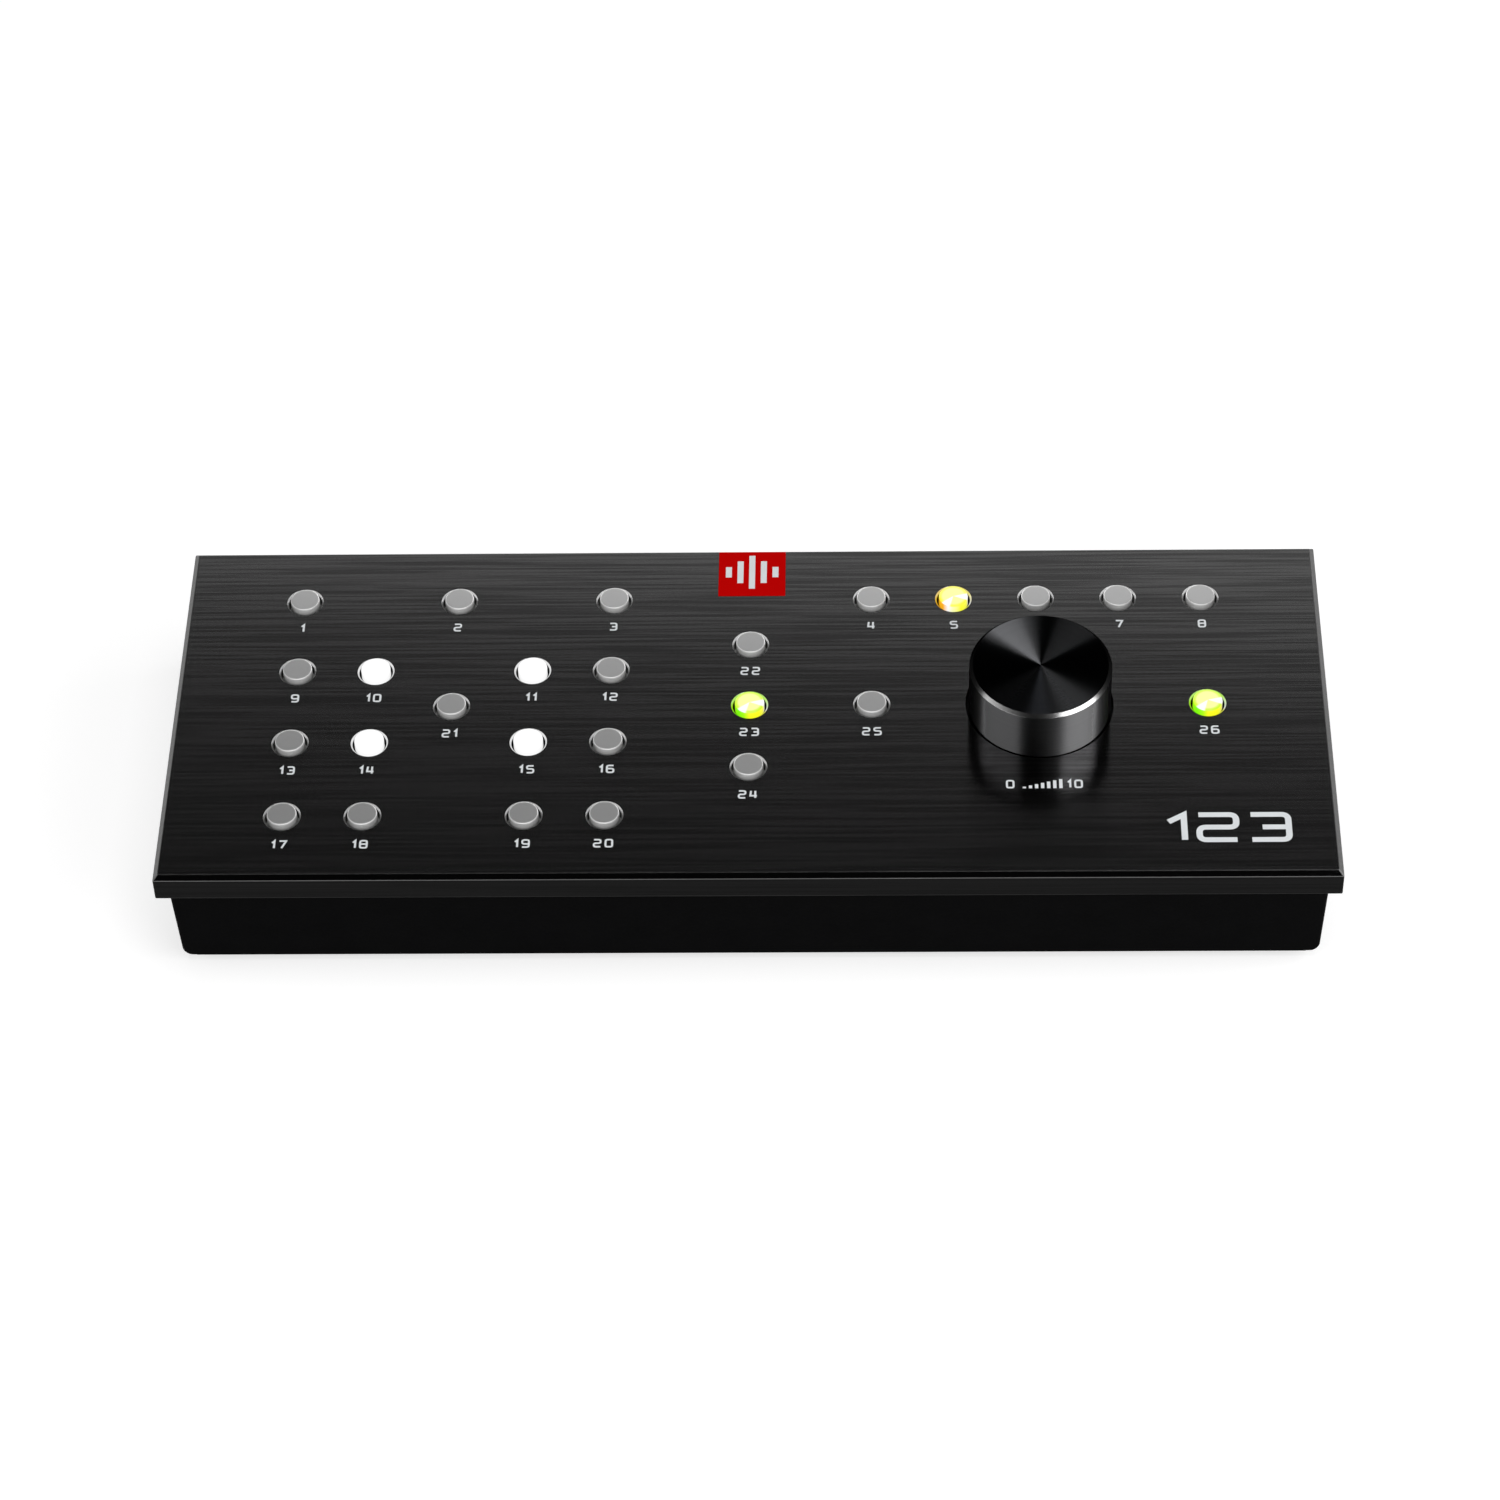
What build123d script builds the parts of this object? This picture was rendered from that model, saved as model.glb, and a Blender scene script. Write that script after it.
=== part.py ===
"""Studio monitor controller: a desktop remote with 26 lit push buttons and a volume knob.

Millimetres. X runs along the controller to the right, Y to its back, Z up. The origin is at the
centre of its outline, on the surface that the rubber feet stand on.
"""

from build123d import *
from math import cos, radians, tan
import os

os.makedirs("parts", exist_ok=True)

# ---------------------------------------------------------------- driving dimensions
# Enclosure
cover_width = 280.0
cover_depth = 108.5
cover_height = 7.6  # seen from the side, from the seam with the tray to the panel
cover_chamfer = 1.2
cover_edge_round = 0.5  # on the lower outer edges
face_thickness = 3.0
seam_step = 2.75  # how far the cover stands out beyond the tray at the seam
rim_clearance = 0.2  # between the cover's rim and the tray walls inside it
tray_height = 25.2  # from the underside of its floor to the seam
tray_lean = 2.0  # degrees that the walls lean in towards the floor
sheet = 1.2
side_bend_radius = 2.8  # outside radius of the bends between the floor and the sides
wall_edge_radius = 0.8  # along the edges of the front and back walls
relief_length = 3.2  # the bend reliefs at the ends of the front and back walls
relief_height = 0.6
relief_depth = 2.0

# Feet and fasteners
foot_height = 2.0
foot_radius = 6.5
foot_round = 0.5
foot_inset_x = 28.0  # from the cover's ends
foot_inset_y = 16.25  # from its front and back edges
m3_radius = 1.5
thread_clearance = 0.05
hole_clearance = 0.2
fixing_inset_x = 13.0  # from the cover's ends
fixing_inset_y = 12.25  # from its front and back edges
stud_press_depth = 1.8
stud_engagement = 4.0
spacer_length = 6.5
spacer_radius = 2.75
pillar_flats = 5.5
base_screw_head_radius = 2.75
base_screw_head_height = 1.5
base_screw_length = 8.0
screw_drive_depth = 0.9
screw_drive_width = 0.8
screw_drive_length = 3.2

# Boards
board_thickness = 1.6
board_margin = 1.4  # from the main board's edge to the inside of the tray
board_corner_radius = 3.0
chip_size = 14.0
chip_height = 1.4
chip_x = -14.0
chip_y = -20.0
driver_length = 7.8
driver_width = 4.4
driver_height = 1.2
driver_outer_x = 92.0
driver_inner_x = 44.0
capacitor_radius = 3.15
capacitor_height = 5.4
capacitor_pitch = 9.0
capacitor_count = 4
capacitor_x = -62.0
capacitor_y = 6.0
crystal_length = 11.0
crystal_width = 4.6
crystal_height = 3.4
crystal_gap = 4.0  # between the controller chip and its crystal

# Button pattern: a bank of speaker buttons, a centre column, and a bank of source buttons round the knob
bank_columns = 5
bank_rows = 4
end_column_inset = 29.2  # from the cover's ends to the outer columns
back_row_inset = 18.025  # from the cover's back edge
front_row_inset = 19.225  # from its front edge
speaker_pitch = 19.2
source_pitch = 20.3

# Buttons
button_hole_radius = 4.1
button_hole_bevel = 0.4  # polished bevel round each hole
cap_radius = 3.575
cap_rise = 1.05  # above the panel
cap_edge_radius = 0.35
cap_top = 1.4
cap_flange_radius = 4.8
cap_flange_height = 0.8
button_travel = 0.5
motion_gap = 0.3  # between a moving piece and what it must not touch
plunger_radius = 2.2
plunger_bore = 1.6
running_fit = 0.05
snap_fit = 0.02
switch_size = 7.6
switch_height = 4.6
dome_height = 0.25
dome_width = 0.5
led_length = 1.9
led_width = 1.2
led_height = 0.8

# Volume knob and its encoder
knob_radius = 17.15
knob_rise = 13.7  # above the panel
knob_chamfer = 0.8
knob_sink = 0.5  # below the panel, inside the recess
knob_floor_gap = 0.5
knob_recess_radius = 17.9
knob_skirt_radius = 8.0
shaft_radius = 3.0
shaft_flat = 1.5  # from the shaft's axis to its flat
shaft_engagement = 6.8
rotor_radius = 4.4
rotor_height = 1.2
rotor_gap = 0.4
encoder_width = 12.4
encoder_depth = 13.2
encoder_face_gap = 0.3  # under the panel's face
bushing_radius = 3.5
bushing_top_gap = 0.5  # between the bushing and the knob above it
bushing_end = 0.5  # of bushing above the nut
washer_radius = 5.8
washer_height = 0.5
nut_flats = 10.0
nut_height = 2.0
set_screw_length = 5.0
set_screw_socket = 0.75
set_screw_socket_depth = 2.0

# Rear sockets and their board
io_x = -60.0
io_width = 52.0
io_depth = 28.0
io_wall_gap = 1.6  # between the board and the rear wall
io_standoff_height = 3.0
io_standoff_radius = 2.5
io_screw_inset = 4.0  # from the board's edges
io_screw_radius = 1.25
io_screw_head_radius = 2.3
io_screw_head_height = 1.5
io_screw_length = 4.0
socket_proud = 0.3  # of the rear wall
socket_cut_clearance = 0.25
network_x = -10.0  # from the middle of the board
network_width = 16.0
network_height = 13.4
network_length = 15.6
network_mouth_width = 11.9
network_mouth_height = 7.0
network_mouth_sill = 3.2
network_latch_width = 6.2
network_latch_height = 1.8
network_mouth_depth = 12.5
contact_count = 8
contact_pitch = 1.02
contact_width = 0.45
contact_length = 9.0
contact_height = 0.35
usb_x = 12.0
usb_width = 8.94
usb_height = 3.26
usb_length = 7.3
usb_wall = 0.3
usb_tongue_width = 6.7
usb_tongue_height = 0.7
usb_tongue_length = 5.0
usb_back = 1.0
link_pin_columns = 5
link_pin_rows = 2
link_pin_pitch = 2.54
link_pin_size = 0.64
link_hole_size = 0.84
link_body_edge = 1.2
link_socket_height = 8.5
link_pin_base_height = 2.5
link_pin_overlap = 6.0
link_y = -8.0  # from the middle of the board

# Badge
badge_size = 16.6
badge_thickness = 1.5
badge_clearance = 0.05

# ---------------------------------------------------------------- derived levels and places
tray_floor = foot_height
floor_top = tray_floor + sheet
seam = tray_floor + tray_height
panel = seam + cover_height
face_under = panel - face_thickness
tray_top = face_under - rim_clearance
lean = tan(radians(tray_lean))


def tray_half(cover_size, z):
    """Half of the tray's outside width or depth at height z."""
    return cover_size / 2 - seam_step + (z - seam) * lean


rim_half_width = tray_half(cover_width, tray_top) + rim_clearance
rim_half_depth = tray_half(cover_depth, tray_top) + rim_clearance
wall = sheet / cos(radians(tray_lean))

board_top = face_under - spacer_length
board_under = board_top - board_thickness
board_width = 2 * (tray_half(cover_width, board_under) - wall - board_margin)
board_depth = 2 * (tray_half(cover_depth, board_under) - wall - board_margin)

outer_column = cover_width / 2 - end_column_inset
back_row = cover_depth / 2 - back_row_inset
front_row = front_row_inset - cover_depth / 2
row_pitch = (back_row - front_row) / (bank_rows - 1)
pattern_y = (back_row + front_row) / 2
speaker_columns = [i * speaker_pitch - outer_column for i in range(bank_columns)]
source_columns = [outer_column - i * source_pitch for i in reversed(range(bank_columns))]
rows = [back_row - i * row_pitch for i in range(bank_rows)]

button_points = [(speaker_columns[i], rows[0]) for i in (0, 2, 4)]
button_points += [(x, rows[0]) for x in source_columns]
button_points += [(speaker_columns[i], y) for y in rows[1:] for i in (0, 1, 3, 4)]
button_points += [(speaker_columns[2], pattern_y)]
button_points += [(0, pattern_y + k * source_pitch) for k in (1, 0, -1)]
button_points += [(source_columns[i], pattern_y) for i in (0, 4)]
knob_x = source_columns[2]
knob_point = (knob_x, pattern_y)

fixing_x = cover_width / 2 - fixing_inset_x
fixing_y = cover_depth / 2 - fixing_inset_y
fixing_middle_x = source_columns[0] / 2  # halfway between the centre column and the next one
fixing_points = [(x, y) for x in (-fixing_x, fixing_middle_x, fixing_x) for y in (-fixing_y, fixing_y)]
foot_x = cover_width / 2 - foot_inset_x
foot_y = cover_depth / 2 - foot_inset_y
foot_points = [(x, y) for x in (-foot_x, foot_x) for y in (-foot_y, foot_y)]
relief_x = tray_half(cover_width, tray_floor)
relief_y = tray_half(cover_depth, tray_floor)
relief_points = [(x, y) for x in (-relief_x, relief_x) for y in (-relief_y, relief_y)]
driver_columns = (-driver_outer_x, -driver_inner_x, driver_outer_x)

cap_surface = panel + cap_rise
cap_ceiling = cap_surface - cap_top
flange_top = face_under - motion_gap
flange_under = flange_top - cap_flange_height
dome_top = board_top + dome_height
plunger_under = dome_top + motion_gap + button_travel

recess_floor = panel - knob_sink - knob_floor_gap
knob_under = panel - knob_sink
knob_surface = panel + knob_rise
encoder_top = face_under - encoder_face_gap
nut_under = recess_floor + washer_height
bushing_top = nut_under + nut_height + bushing_end
knob_ceiling = bushing_top + bushing_top_gap
shaft_top = knob_ceiling + shaft_engagement
rotor_under = board_top + rotor_gap
set_screw_z = knob_ceiling + shaft_engagement / 2

io_under = floor_top + io_standoff_height
io_top = io_under + board_thickness
io_back = tray_half(cover_depth, io_under) - wall - io_wall_gap
io_y = io_back - io_depth / 2
io_screw_x = io_width / 2 - io_screw_inset
io_screw_y = io_depth / 2 - io_screw_inset
io_points = [(io_x + i * io_screw_x, io_y + j * io_screw_y) for i in (-1, 1) for j in (-1, 1)]
socket_face = tray_half(cover_depth, io_top + network_height) + socket_proud
network_centre = io_x + network_x
usb_centre = io_x + usb_x
link_point = (io_x, io_y + link_y)
link_width = (link_pin_columns - 1) * link_pin_pitch + 2 * link_body_edge
link_depth = (link_pin_rows - 1) * link_pin_pitch + 2 * link_body_edge
link_socket_top = io_top + link_socket_height


def save(part, name):
    part.label = name
    export_step(part, f"parts/{name}.step")


# ---------------------------------------------------------------- enclosure
with BuildPart() as top_cover:
    with BuildSketch(Plane.XY.offset(seam)):
        Rectangle(cover_width, cover_depth)
    extrude(amount=cover_height)
    chamfer(top_cover.faces().sort_by(Axis.Z)[-1].edges(), cover_chamfer)
    fillet(top_cover.faces().sort_by(Axis.Z)[0].edges(), cover_edge_round)
    with BuildSketch(Plane.XY.offset(seam)):
        Rectangle(2 * rim_half_width, 2 * rim_half_depth)
    extrude(amount=face_under - seam, mode=Mode.SUBTRACT)
    with BuildSketch(Plane.XY.offset(panel)):
        with Locations(*button_points):
            Circle(button_hole_radius)
    extrude(amount=-face_thickness, mode=Mode.SUBTRACT)
    hole_edges = top_cover.edges().filter_by(GeomType.CIRCLE).group_by(Axis.Z)[-1]
    chamfer(hole_edges, button_hole_bevel)
    with BuildSketch(Plane.XY.offset(panel)):
        with Locations(knob_point):
            Circle(knob_recess_radius)
    extrude(amount=recess_floor - panel, mode=Mode.SUBTRACT)
    with BuildSketch(Plane.XY.offset(panel)):
        with Locations(knob_point):
            Circle(bushing_radius + hole_clearance)
    extrude(amount=-face_thickness, mode=Mode.SUBTRACT)
    with BuildSketch(Plane.XY.offset(face_under)):
        with Locations(*fixing_points):
            Circle(m3_radius)
    extrude(amount=stud_press_depth, mode=Mode.SUBTRACT)
    with BuildSketch(Plane.XY.offset(panel)):
        with Locations((0, cover_depth / 2)):
            Rectangle(badge_size + 2 * badge_clearance, 2 * (badge_size + badge_clearance))
    extrude(amount=-badge_thickness, mode=Mode.SUBTRACT)
save(top_cover.part, "top_cover")

with BuildPart() as badge_tile:
    with BuildSketch(Plane.XY.offset(panel - badge_thickness)):
        with Locations((0, cover_depth / 2)):
            Rectangle(badge_size, badge_size, align=(Align.CENTER, Align.MAX))
    extrude(amount=badge_thickness)
    back_edge = badge_tile.faces().sort_by(Axis.Z)[-1].edges().sort_by(Axis.Y)[-1]
    chamfer(back_edge, cover_chamfer)
save(badge_tile.part, "badge_tile")

tray_rim = Plane(origin=(0, 0, tray_top), x_dir=(1, 0, 0), z_dir=(0, 0, -1))
with BuildPart() as base_tray:
    with BuildSketch(tray_rim):
        Rectangle(2 * tray_half(cover_width, tray_top), 2 * tray_half(cover_depth, tray_top))
    extrude(amount=tray_top - tray_floor, taper=tray_lean)
    floor_edges = base_tray.faces().sort_by(Axis.Z)[0].edges()
    fillet(floor_edges.filter_by(Axis.Y), side_bend_radius)
    end_walls = base_tray.faces().sort_by(Axis.Y)
    edges_to_round = end_walls[0].edges() + end_walls[-1].edges()
    fillet(edges_to_round.filter_by(lambda e: e.center().Z < tray_top - sheet), wall_edge_radius)
    with BuildSketch(tray_rim):
        Rectangle(
            2 * (tray_half(cover_width, tray_top) - wall),
            2 * (tray_half(cover_depth, tray_top) - wall),
        )
    extrude(amount=tray_top - floor_top, taper=tray_lean, mode=Mode.SUBTRACT)
    with BuildSketch(Plane.XY.offset(tray_floor)):
        with Locations(*relief_points):
            Rectangle(2 * relief_length, 2 * relief_depth)
    extrude(amount=relief_height, mode=Mode.SUBTRACT)
    with BuildSketch(Plane.XY.offset(tray_floor)):
        with Locations(*fixing_points):
            Circle(m3_radius + hole_clearance)
    extrude(amount=sheet, mode=Mode.SUBTRACT)
    with BuildSketch(Plane.XZ.offset(-cover_depth / 2)):
        with Locations((network_centre, io_top + network_height / 2)):
            Rectangle(network_width + 2 * socket_cut_clearance, network_height + 2 * socket_cut_clearance)
        with Locations((usb_centre, io_top + usb_height / 2)):
            SlotOverall(usb_width + 2 * socket_cut_clearance, usb_height + 2 * socket_cut_clearance)
    extrude(amount=cover_depth / 2 - io_back, mode=Mode.SUBTRACT)
save(base_tray.part, "base_tray")

with BuildPart() as rubber_feet:
    with BuildSketch(Plane.XY):
        with Locations(*foot_points):
            Circle(foot_radius)
    extrude(amount=foot_height)
    fillet(rubber_feet.edges().group_by(Axis.Z)[0], foot_round)
save(rubber_feet.part, "rubber_feet")

# ---------------------------------------------------------------- fasteners between cover and tray
with BuildPart() as cover_studs:
    with BuildSketch(Plane.XY.offset(board_under - stud_engagement)):
        with Locations(*fixing_points):
            Circle(m3_radius)
    extrude(amount=face_under + stud_press_depth - board_under + stud_engagement)
save(cover_studs.part, "cover_studs")

with BuildPart() as board_spacers:
    with BuildSketch(Plane.XY.offset(board_top)):
        with Locations(*fixing_points):
            Circle(spacer_radius)
            Circle(m3_radius + hole_clearance, mode=Mode.SUBTRACT)
    extrude(amount=spacer_length)
save(board_spacers.part, "board_spacers")

with BuildPart() as pillars:
    with BuildSketch(Plane.XY.offset(floor_top)):
        with Locations(*fixing_points):
            RegularPolygon(pillar_flats / 2, 6, major_radius=False)
            Circle(m3_radius + thread_clearance, mode=Mode.SUBTRACT)
    extrude(amount=board_under - floor_top)
save(pillars.part, "pillars")

with BuildPart() as base_screws:
    with BuildSketch(Plane.XY.offset(tray_floor - base_screw_head_height)):
        with Locations(*fixing_points):
            Circle(base_screw_head_radius)
    extrude(amount=base_screw_head_height)
    with BuildSketch(Plane.XY.offset(tray_floor)):
        with Locations(*fixing_points):
            Circle(m3_radius)
    extrude(amount=base_screw_length)
    with BuildSketch(Plane.XY.offset(tray_floor - base_screw_head_height)):
        with Locations(*fixing_points):
            Rectangle(screw_drive_length, screw_drive_width)
            Rectangle(screw_drive_width, screw_drive_length)
    extrude(amount=screw_drive_depth, mode=Mode.SUBTRACT)
save(base_screws.part, "base_screws")

# ---------------------------------------------------------------- main board and its parts
with BuildPart() as main_board:
    with BuildSketch(Plane.XY.offset(board_under)):
        RectangleRounded(board_width, board_depth, board_corner_radius)
        with Locations(*fixing_points):
            Circle(m3_radius + hole_clearance, mode=Mode.SUBTRACT)
    extrude(amount=board_thickness)
save(main_board.part, "main_board")

with BuildPart() as controller_chip:
    with BuildSketch(Plane.XY.offset(board_under)):
        with Locations((chip_x, chip_y)):
            Rectangle(chip_size, chip_size)
    extrude(amount=-chip_height)
save(controller_chip.part, "controller_chip")

with BuildPart() as clock_crystal:
    with BuildSketch(Plane.XY.offset(board_under)):
        with Locations((chip_x + chip_size / 2 + crystal_gap, chip_y)):
            SlotOverall(crystal_length, crystal_width, rotation=90)
    extrude(amount=-crystal_height)
save(clock_crystal.part, "clock_crystal")

with BuildPart() as led_driver_chips:
    with BuildSketch(Plane.XY.offset(board_under)):
        with Locations(*[(x, pattern_y) for x in driver_columns]):
            Rectangle(driver_length, driver_width)
    extrude(amount=-driver_height)
save(led_driver_chips.part, "led_driver_chips")

with BuildPart() as board_capacitors:
    with BuildSketch(Plane.XY.offset(board_under)):
        with Locations((capacitor_x, capacitor_y)):
            with GridLocations(capacitor_pitch, 0, capacitor_count, 1):
                Circle(capacitor_radius)
    extrude(amount=-capacitor_height)
save(board_capacitors.part, "board_capacitors")

with BuildPart() as switch_housings:
    with BuildSketch(Plane.XY.offset(board_top)):
        with Locations(*button_points):
            Rectangle(switch_size, switch_size)
            Circle(plunger_radius + running_fit, mode=Mode.SUBTRACT)
    extrude(amount=switch_height)
save(switch_housings.part, "switch_housings")

with BuildPart() as contact_domes:
    with BuildSketch(Plane.XY.offset(board_top)):
        with Locations(*button_points):
            Circle(plunger_radius)
            Circle(plunger_radius - dome_width, mode=Mode.SUBTRACT)
    extrude(amount=dome_height)
save(contact_domes.part, "contact_domes")

with BuildPart() as button_leds:
    with BuildSketch(Plane.XY.offset(board_top)):
        with Locations(*button_points):
            Rectangle(led_length, led_width)
    extrude(amount=led_height)
save(button_leds.part, "button_leds")


# ---------------------------------------------------------------- buttons
def make_button(point):
    """A translucent cap with a flange under the panel, and the hollow switch plunger inside it."""
    with BuildPart() as cap:
        with BuildSketch(Plane.XY.offset(flange_under)):
            with Locations(point):
                Circle(cap_radius)
        extrude(amount=cap_surface - flange_under)
        fillet(cap.edges().group_by(Axis.Z)[-1], cap_edge_radius)
        with BuildSketch(Plane.XY.offset(flange_under)):
            with Locations(point):
                Circle(cap_flange_radius)
        extrude(amount=cap_flange_height)
        with BuildSketch(Plane.XY.offset(flange_under)):
            with Locations(point):
                Circle(plunger_radius + snap_fit)
        extrude(amount=cap_ceiling - flange_under, mode=Mode.SUBTRACT)
    with BuildPart() as plunger:
        with BuildSketch(Plane.XY.offset(plunger_under)):
            with Locations(point):
                Circle(plunger_radius)
                Circle(plunger_bore, mode=Mode.SUBTRACT)
        extrude(amount=cap_ceiling - plunger_under - snap_fit)
    return Compound(children=[cap.part, plunger.part])


for number, point in enumerate(button_points, start=1):
    save(make_button(point), f"button_{number:02d}")

# ---------------------------------------------------------------- volume encoder
with BuildPart() as encoder_body:
    with BuildSketch(Plane.XY.offset(board_top)):
        with Locations(knob_point):
            Rectangle(encoder_width, encoder_depth)
    extrude(amount=encoder_top - board_top)
    with BuildSketch(Plane.XY.offset(rotor_under - motion_gap)):
        with Locations(knob_point):
            Circle(rotor_radius + motion_gap)
    extrude(amount=rotor_height + 2 * motion_gap, mode=Mode.SUBTRACT)
    with BuildSketch(Plane.XY.offset(encoder_top)):
        with Locations(knob_point):
            Circle(shaft_radius + running_fit)
    extrude(amount=rotor_under - encoder_top, mode=Mode.SUBTRACT)
save(encoder_body.part, "encoder_body")

with BuildPart() as encoder_bushing:
    with BuildSketch(Plane.XY.offset(encoder_top)):
        with Locations(knob_point):
            Circle(bushing_radius)
            Circle(shaft_radius + running_fit, mode=Mode.SUBTRACT)
    extrude(amount=bushing_top - encoder_top)
save(encoder_bushing.part, "encoder_bushing")

with BuildPart() as encoder_washer:
    with BuildSketch(Plane.XY.offset(recess_floor)):
        with Locations(knob_point):
            Circle(washer_radius)
            Circle(bushing_radius + thread_clearance, mode=Mode.SUBTRACT)
    extrude(amount=washer_height)
save(encoder_washer.part, "encoder_washer")

with BuildPart() as encoder_nut:
    with BuildSketch(Plane.XY.offset(nut_under)):
        with Locations(knob_point):
            RegularPolygon(nut_flats / 2, 6, major_radius=False)
            Circle(bushing_radius + thread_clearance, mode=Mode.SUBTRACT)
    extrude(amount=nut_height)
save(encoder_nut.part, "encoder_nut")

with BuildPart() as encoder_shaft:
    with BuildSketch(Plane.XY.offset(rotor_under)):
        with Locations(knob_point):
            Circle(rotor_radius)
    extrude(amount=rotor_height)
    with BuildSketch(Plane.XY.offset(rotor_under)):
        with Locations(knob_point):
            Circle(shaft_radius)
    extrude(amount=shaft_top - rotor_under)
    with BuildSketch(Plane.XY.offset(knob_ceiling)):
        with Locations((knob_x, pattern_y + shaft_flat)):
            Rectangle(2 * shaft_radius, shaft_radius, align=(Align.CENTER, Align.MIN))
    extrude(amount=shaft_engagement, mode=Mode.SUBTRACT)
save(encoder_shaft.part, "encoder_shaft")

with BuildPart() as volume_knob:
    with BuildSketch(Plane.XY.offset(knob_under)):
        with Locations(knob_point):
            Circle(knob_radius)
    extrude(amount=knob_surface - knob_under)
    chamfer(volume_knob.edges().group_by(Axis.Z)[-1], knob_chamfer)
    with BuildSketch(Plane.XY.offset(knob_under)):
        with Locations(knob_point):
            Circle(knob_skirt_radius)
    extrude(amount=knob_ceiling - knob_under, mode=Mode.SUBTRACT)
    with BuildSketch(Plane.XY.offset(knob_ceiling)):
        with Locations(knob_point):
            Circle(shaft_radius + snap_fit)
        with Locations((knob_x, pattern_y + shaft_flat + snap_fit)):
            Rectangle(2 * knob_radius, knob_radius, align=(Align.CENTER, Align.MIN), mode=Mode.SUBTRACT)
    extrude(amount=shaft_engagement + snap_fit, mode=Mode.SUBTRACT)
    with BuildSketch(Plane.XZ.offset(-pattern_y)):
        with Locations((knob_x, set_screw_z)):
            Circle(m3_radius + thread_clearance)
    extrude(amount=-knob_radius, mode=Mode.SUBTRACT)
save(volume_knob.part, "volume_knob")

with BuildPart() as knob_set_screw:
    with BuildSketch(Plane.XZ.offset(-pattern_y - shaft_flat - snap_fit)):
        with Locations((knob_x, set_screw_z)):
            Circle(m3_radius)
    extrude(amount=-set_screw_length)
    with BuildSketch(Plane.XZ.offset(-pattern_y - shaft_flat - snap_fit - set_screw_length)):
        with Locations((knob_x, set_screw_z)):
            RegularPolygon(set_screw_socket, 6, major_radius=False)
    extrude(amount=set_screw_socket_depth, mode=Mode.SUBTRACT)
save(knob_set_screw.part, "knob_set_screw")

# ---------------------------------------------------------------- rear sockets
with BuildPart() as io_board:
    with BuildSketch(Plane.XY.offset(io_under)):
        with Locations((io_x, io_y)):
            Rectangle(io_width, io_depth)
        with Locations(*io_points):
            Circle(io_screw_radius + hole_clearance, mode=Mode.SUBTRACT)
    extrude(amount=board_thickness)
save(io_board.part, "io_board")

with BuildPart() as io_standoffs:
    with BuildSketch(Plane.XY.offset(floor_top)):
        with Locations(*io_points):
            Circle(io_standoff_radius)
            Circle(io_screw_radius + thread_clearance, mode=Mode.SUBTRACT)
    extrude(amount=io_standoff_height)
save(io_standoffs.part, "io_standoffs")

with BuildPart() as io_screws:
    with BuildSketch(Plane.XY.offset(io_top)):
        with Locations(*io_points):
            Circle(io_screw_head_radius)
    extrude(amount=io_screw_head_height)
    with BuildSketch(Plane.XY.offset(io_top)):
        with Locations(*io_points):
            Circle(io_screw_radius)
    extrude(amount=-io_screw_length)
save(io_screws.part, "io_screws")

rear_face = Plane.XZ.offset(-socket_face)
mouth_top = io_top + network_mouth_sill + network_mouth_height
with BuildPart() as network_socket:
    with BuildSketch(rear_face):
        with Locations((network_centre, io_top + network_height / 2)):
            Rectangle(network_width, network_height)
    extrude(amount=network_length)
    with BuildSketch(rear_face):
        with Locations((network_centre, io_top + network_mouth_sill)):
            Rectangle(network_mouth_width, network_mouth_height, align=(Align.CENTER, Align.MIN))
        with Locations((network_centre, mouth_top)):
            Rectangle(network_latch_width, 2 * network_latch_height)
    extrude(amount=network_mouth_depth, mode=Mode.SUBTRACT)
save(network_socket.part, "network_socket")

with BuildPart() as network_contacts:
    with BuildSketch(Plane.XY.offset(io_top + network_mouth_sill)):
        with Locations((network_centre, socket_face - network_mouth_depth)):
            with GridLocations(contact_pitch, 0, contact_count, 1):
                Rectangle(contact_width, contact_length, align=(Align.CENTER, Align.MIN))
    extrude(amount=contact_height)
save(network_contacts.part, "network_contacts")

with BuildPart() as usb_socket:
    with BuildSketch(rear_face):
        with Locations((usb_centre, io_top + usb_height / 2)):
            SlotOverall(usb_width, usb_height)
    extrude(amount=usb_length)
    with BuildSketch(rear_face):
        with Locations((usb_centre, io_top + usb_height / 2)):
            SlotOverall(usb_width - 2 * usb_wall, usb_height - 2 * usb_wall)
    extrude(amount=usb_length - usb_back, mode=Mode.SUBTRACT)
save(usb_socket.part, "usb_socket")

with BuildPart() as usb_tongue:
    with BuildSketch(Plane.XZ.offset(-socket_face + usb_length - usb_back)):
        with Locations((usb_centre, io_top + usb_height / 2)):
            Rectangle(usb_tongue_width, usb_tongue_height)
    extrude(amount=-usb_tongue_length)
save(usb_tongue.part, "usb_tongue")

with BuildPart() as link_socket:
    with BuildSketch(Plane.XY.offset(io_top)):
        with Locations(link_point):
            Rectangle(link_width, link_depth)
            with GridLocations(link_pin_pitch, link_pin_pitch, link_pin_columns, link_pin_rows):
                Rectangle(link_hole_size, link_hole_size, mode=Mode.SUBTRACT)
    extrude(amount=link_socket_height)
save(link_socket.part, "link_socket")

with BuildPart() as link_pins:
    with BuildSketch(Plane.XY.offset(board_under)):
        with Locations(link_point):
            Rectangle(link_width, link_depth)
    extrude(amount=-link_pin_base_height)
    with BuildSketch(Plane.XY.offset(board_under)):
        with Locations(link_point):
            with GridLocations(link_pin_pitch, link_pin_pitch, link_pin_columns, link_pin_rows):
                Rectangle(link_pin_size, link_pin_size)
    extrude(amount=link_socket_top - link_pin_overlap - board_under)
save(link_pins.part, "link_pins")
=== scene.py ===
"""Looks of the studio monitor controller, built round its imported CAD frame. Metres, +Z up, +Y to the back."""

import math

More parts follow.
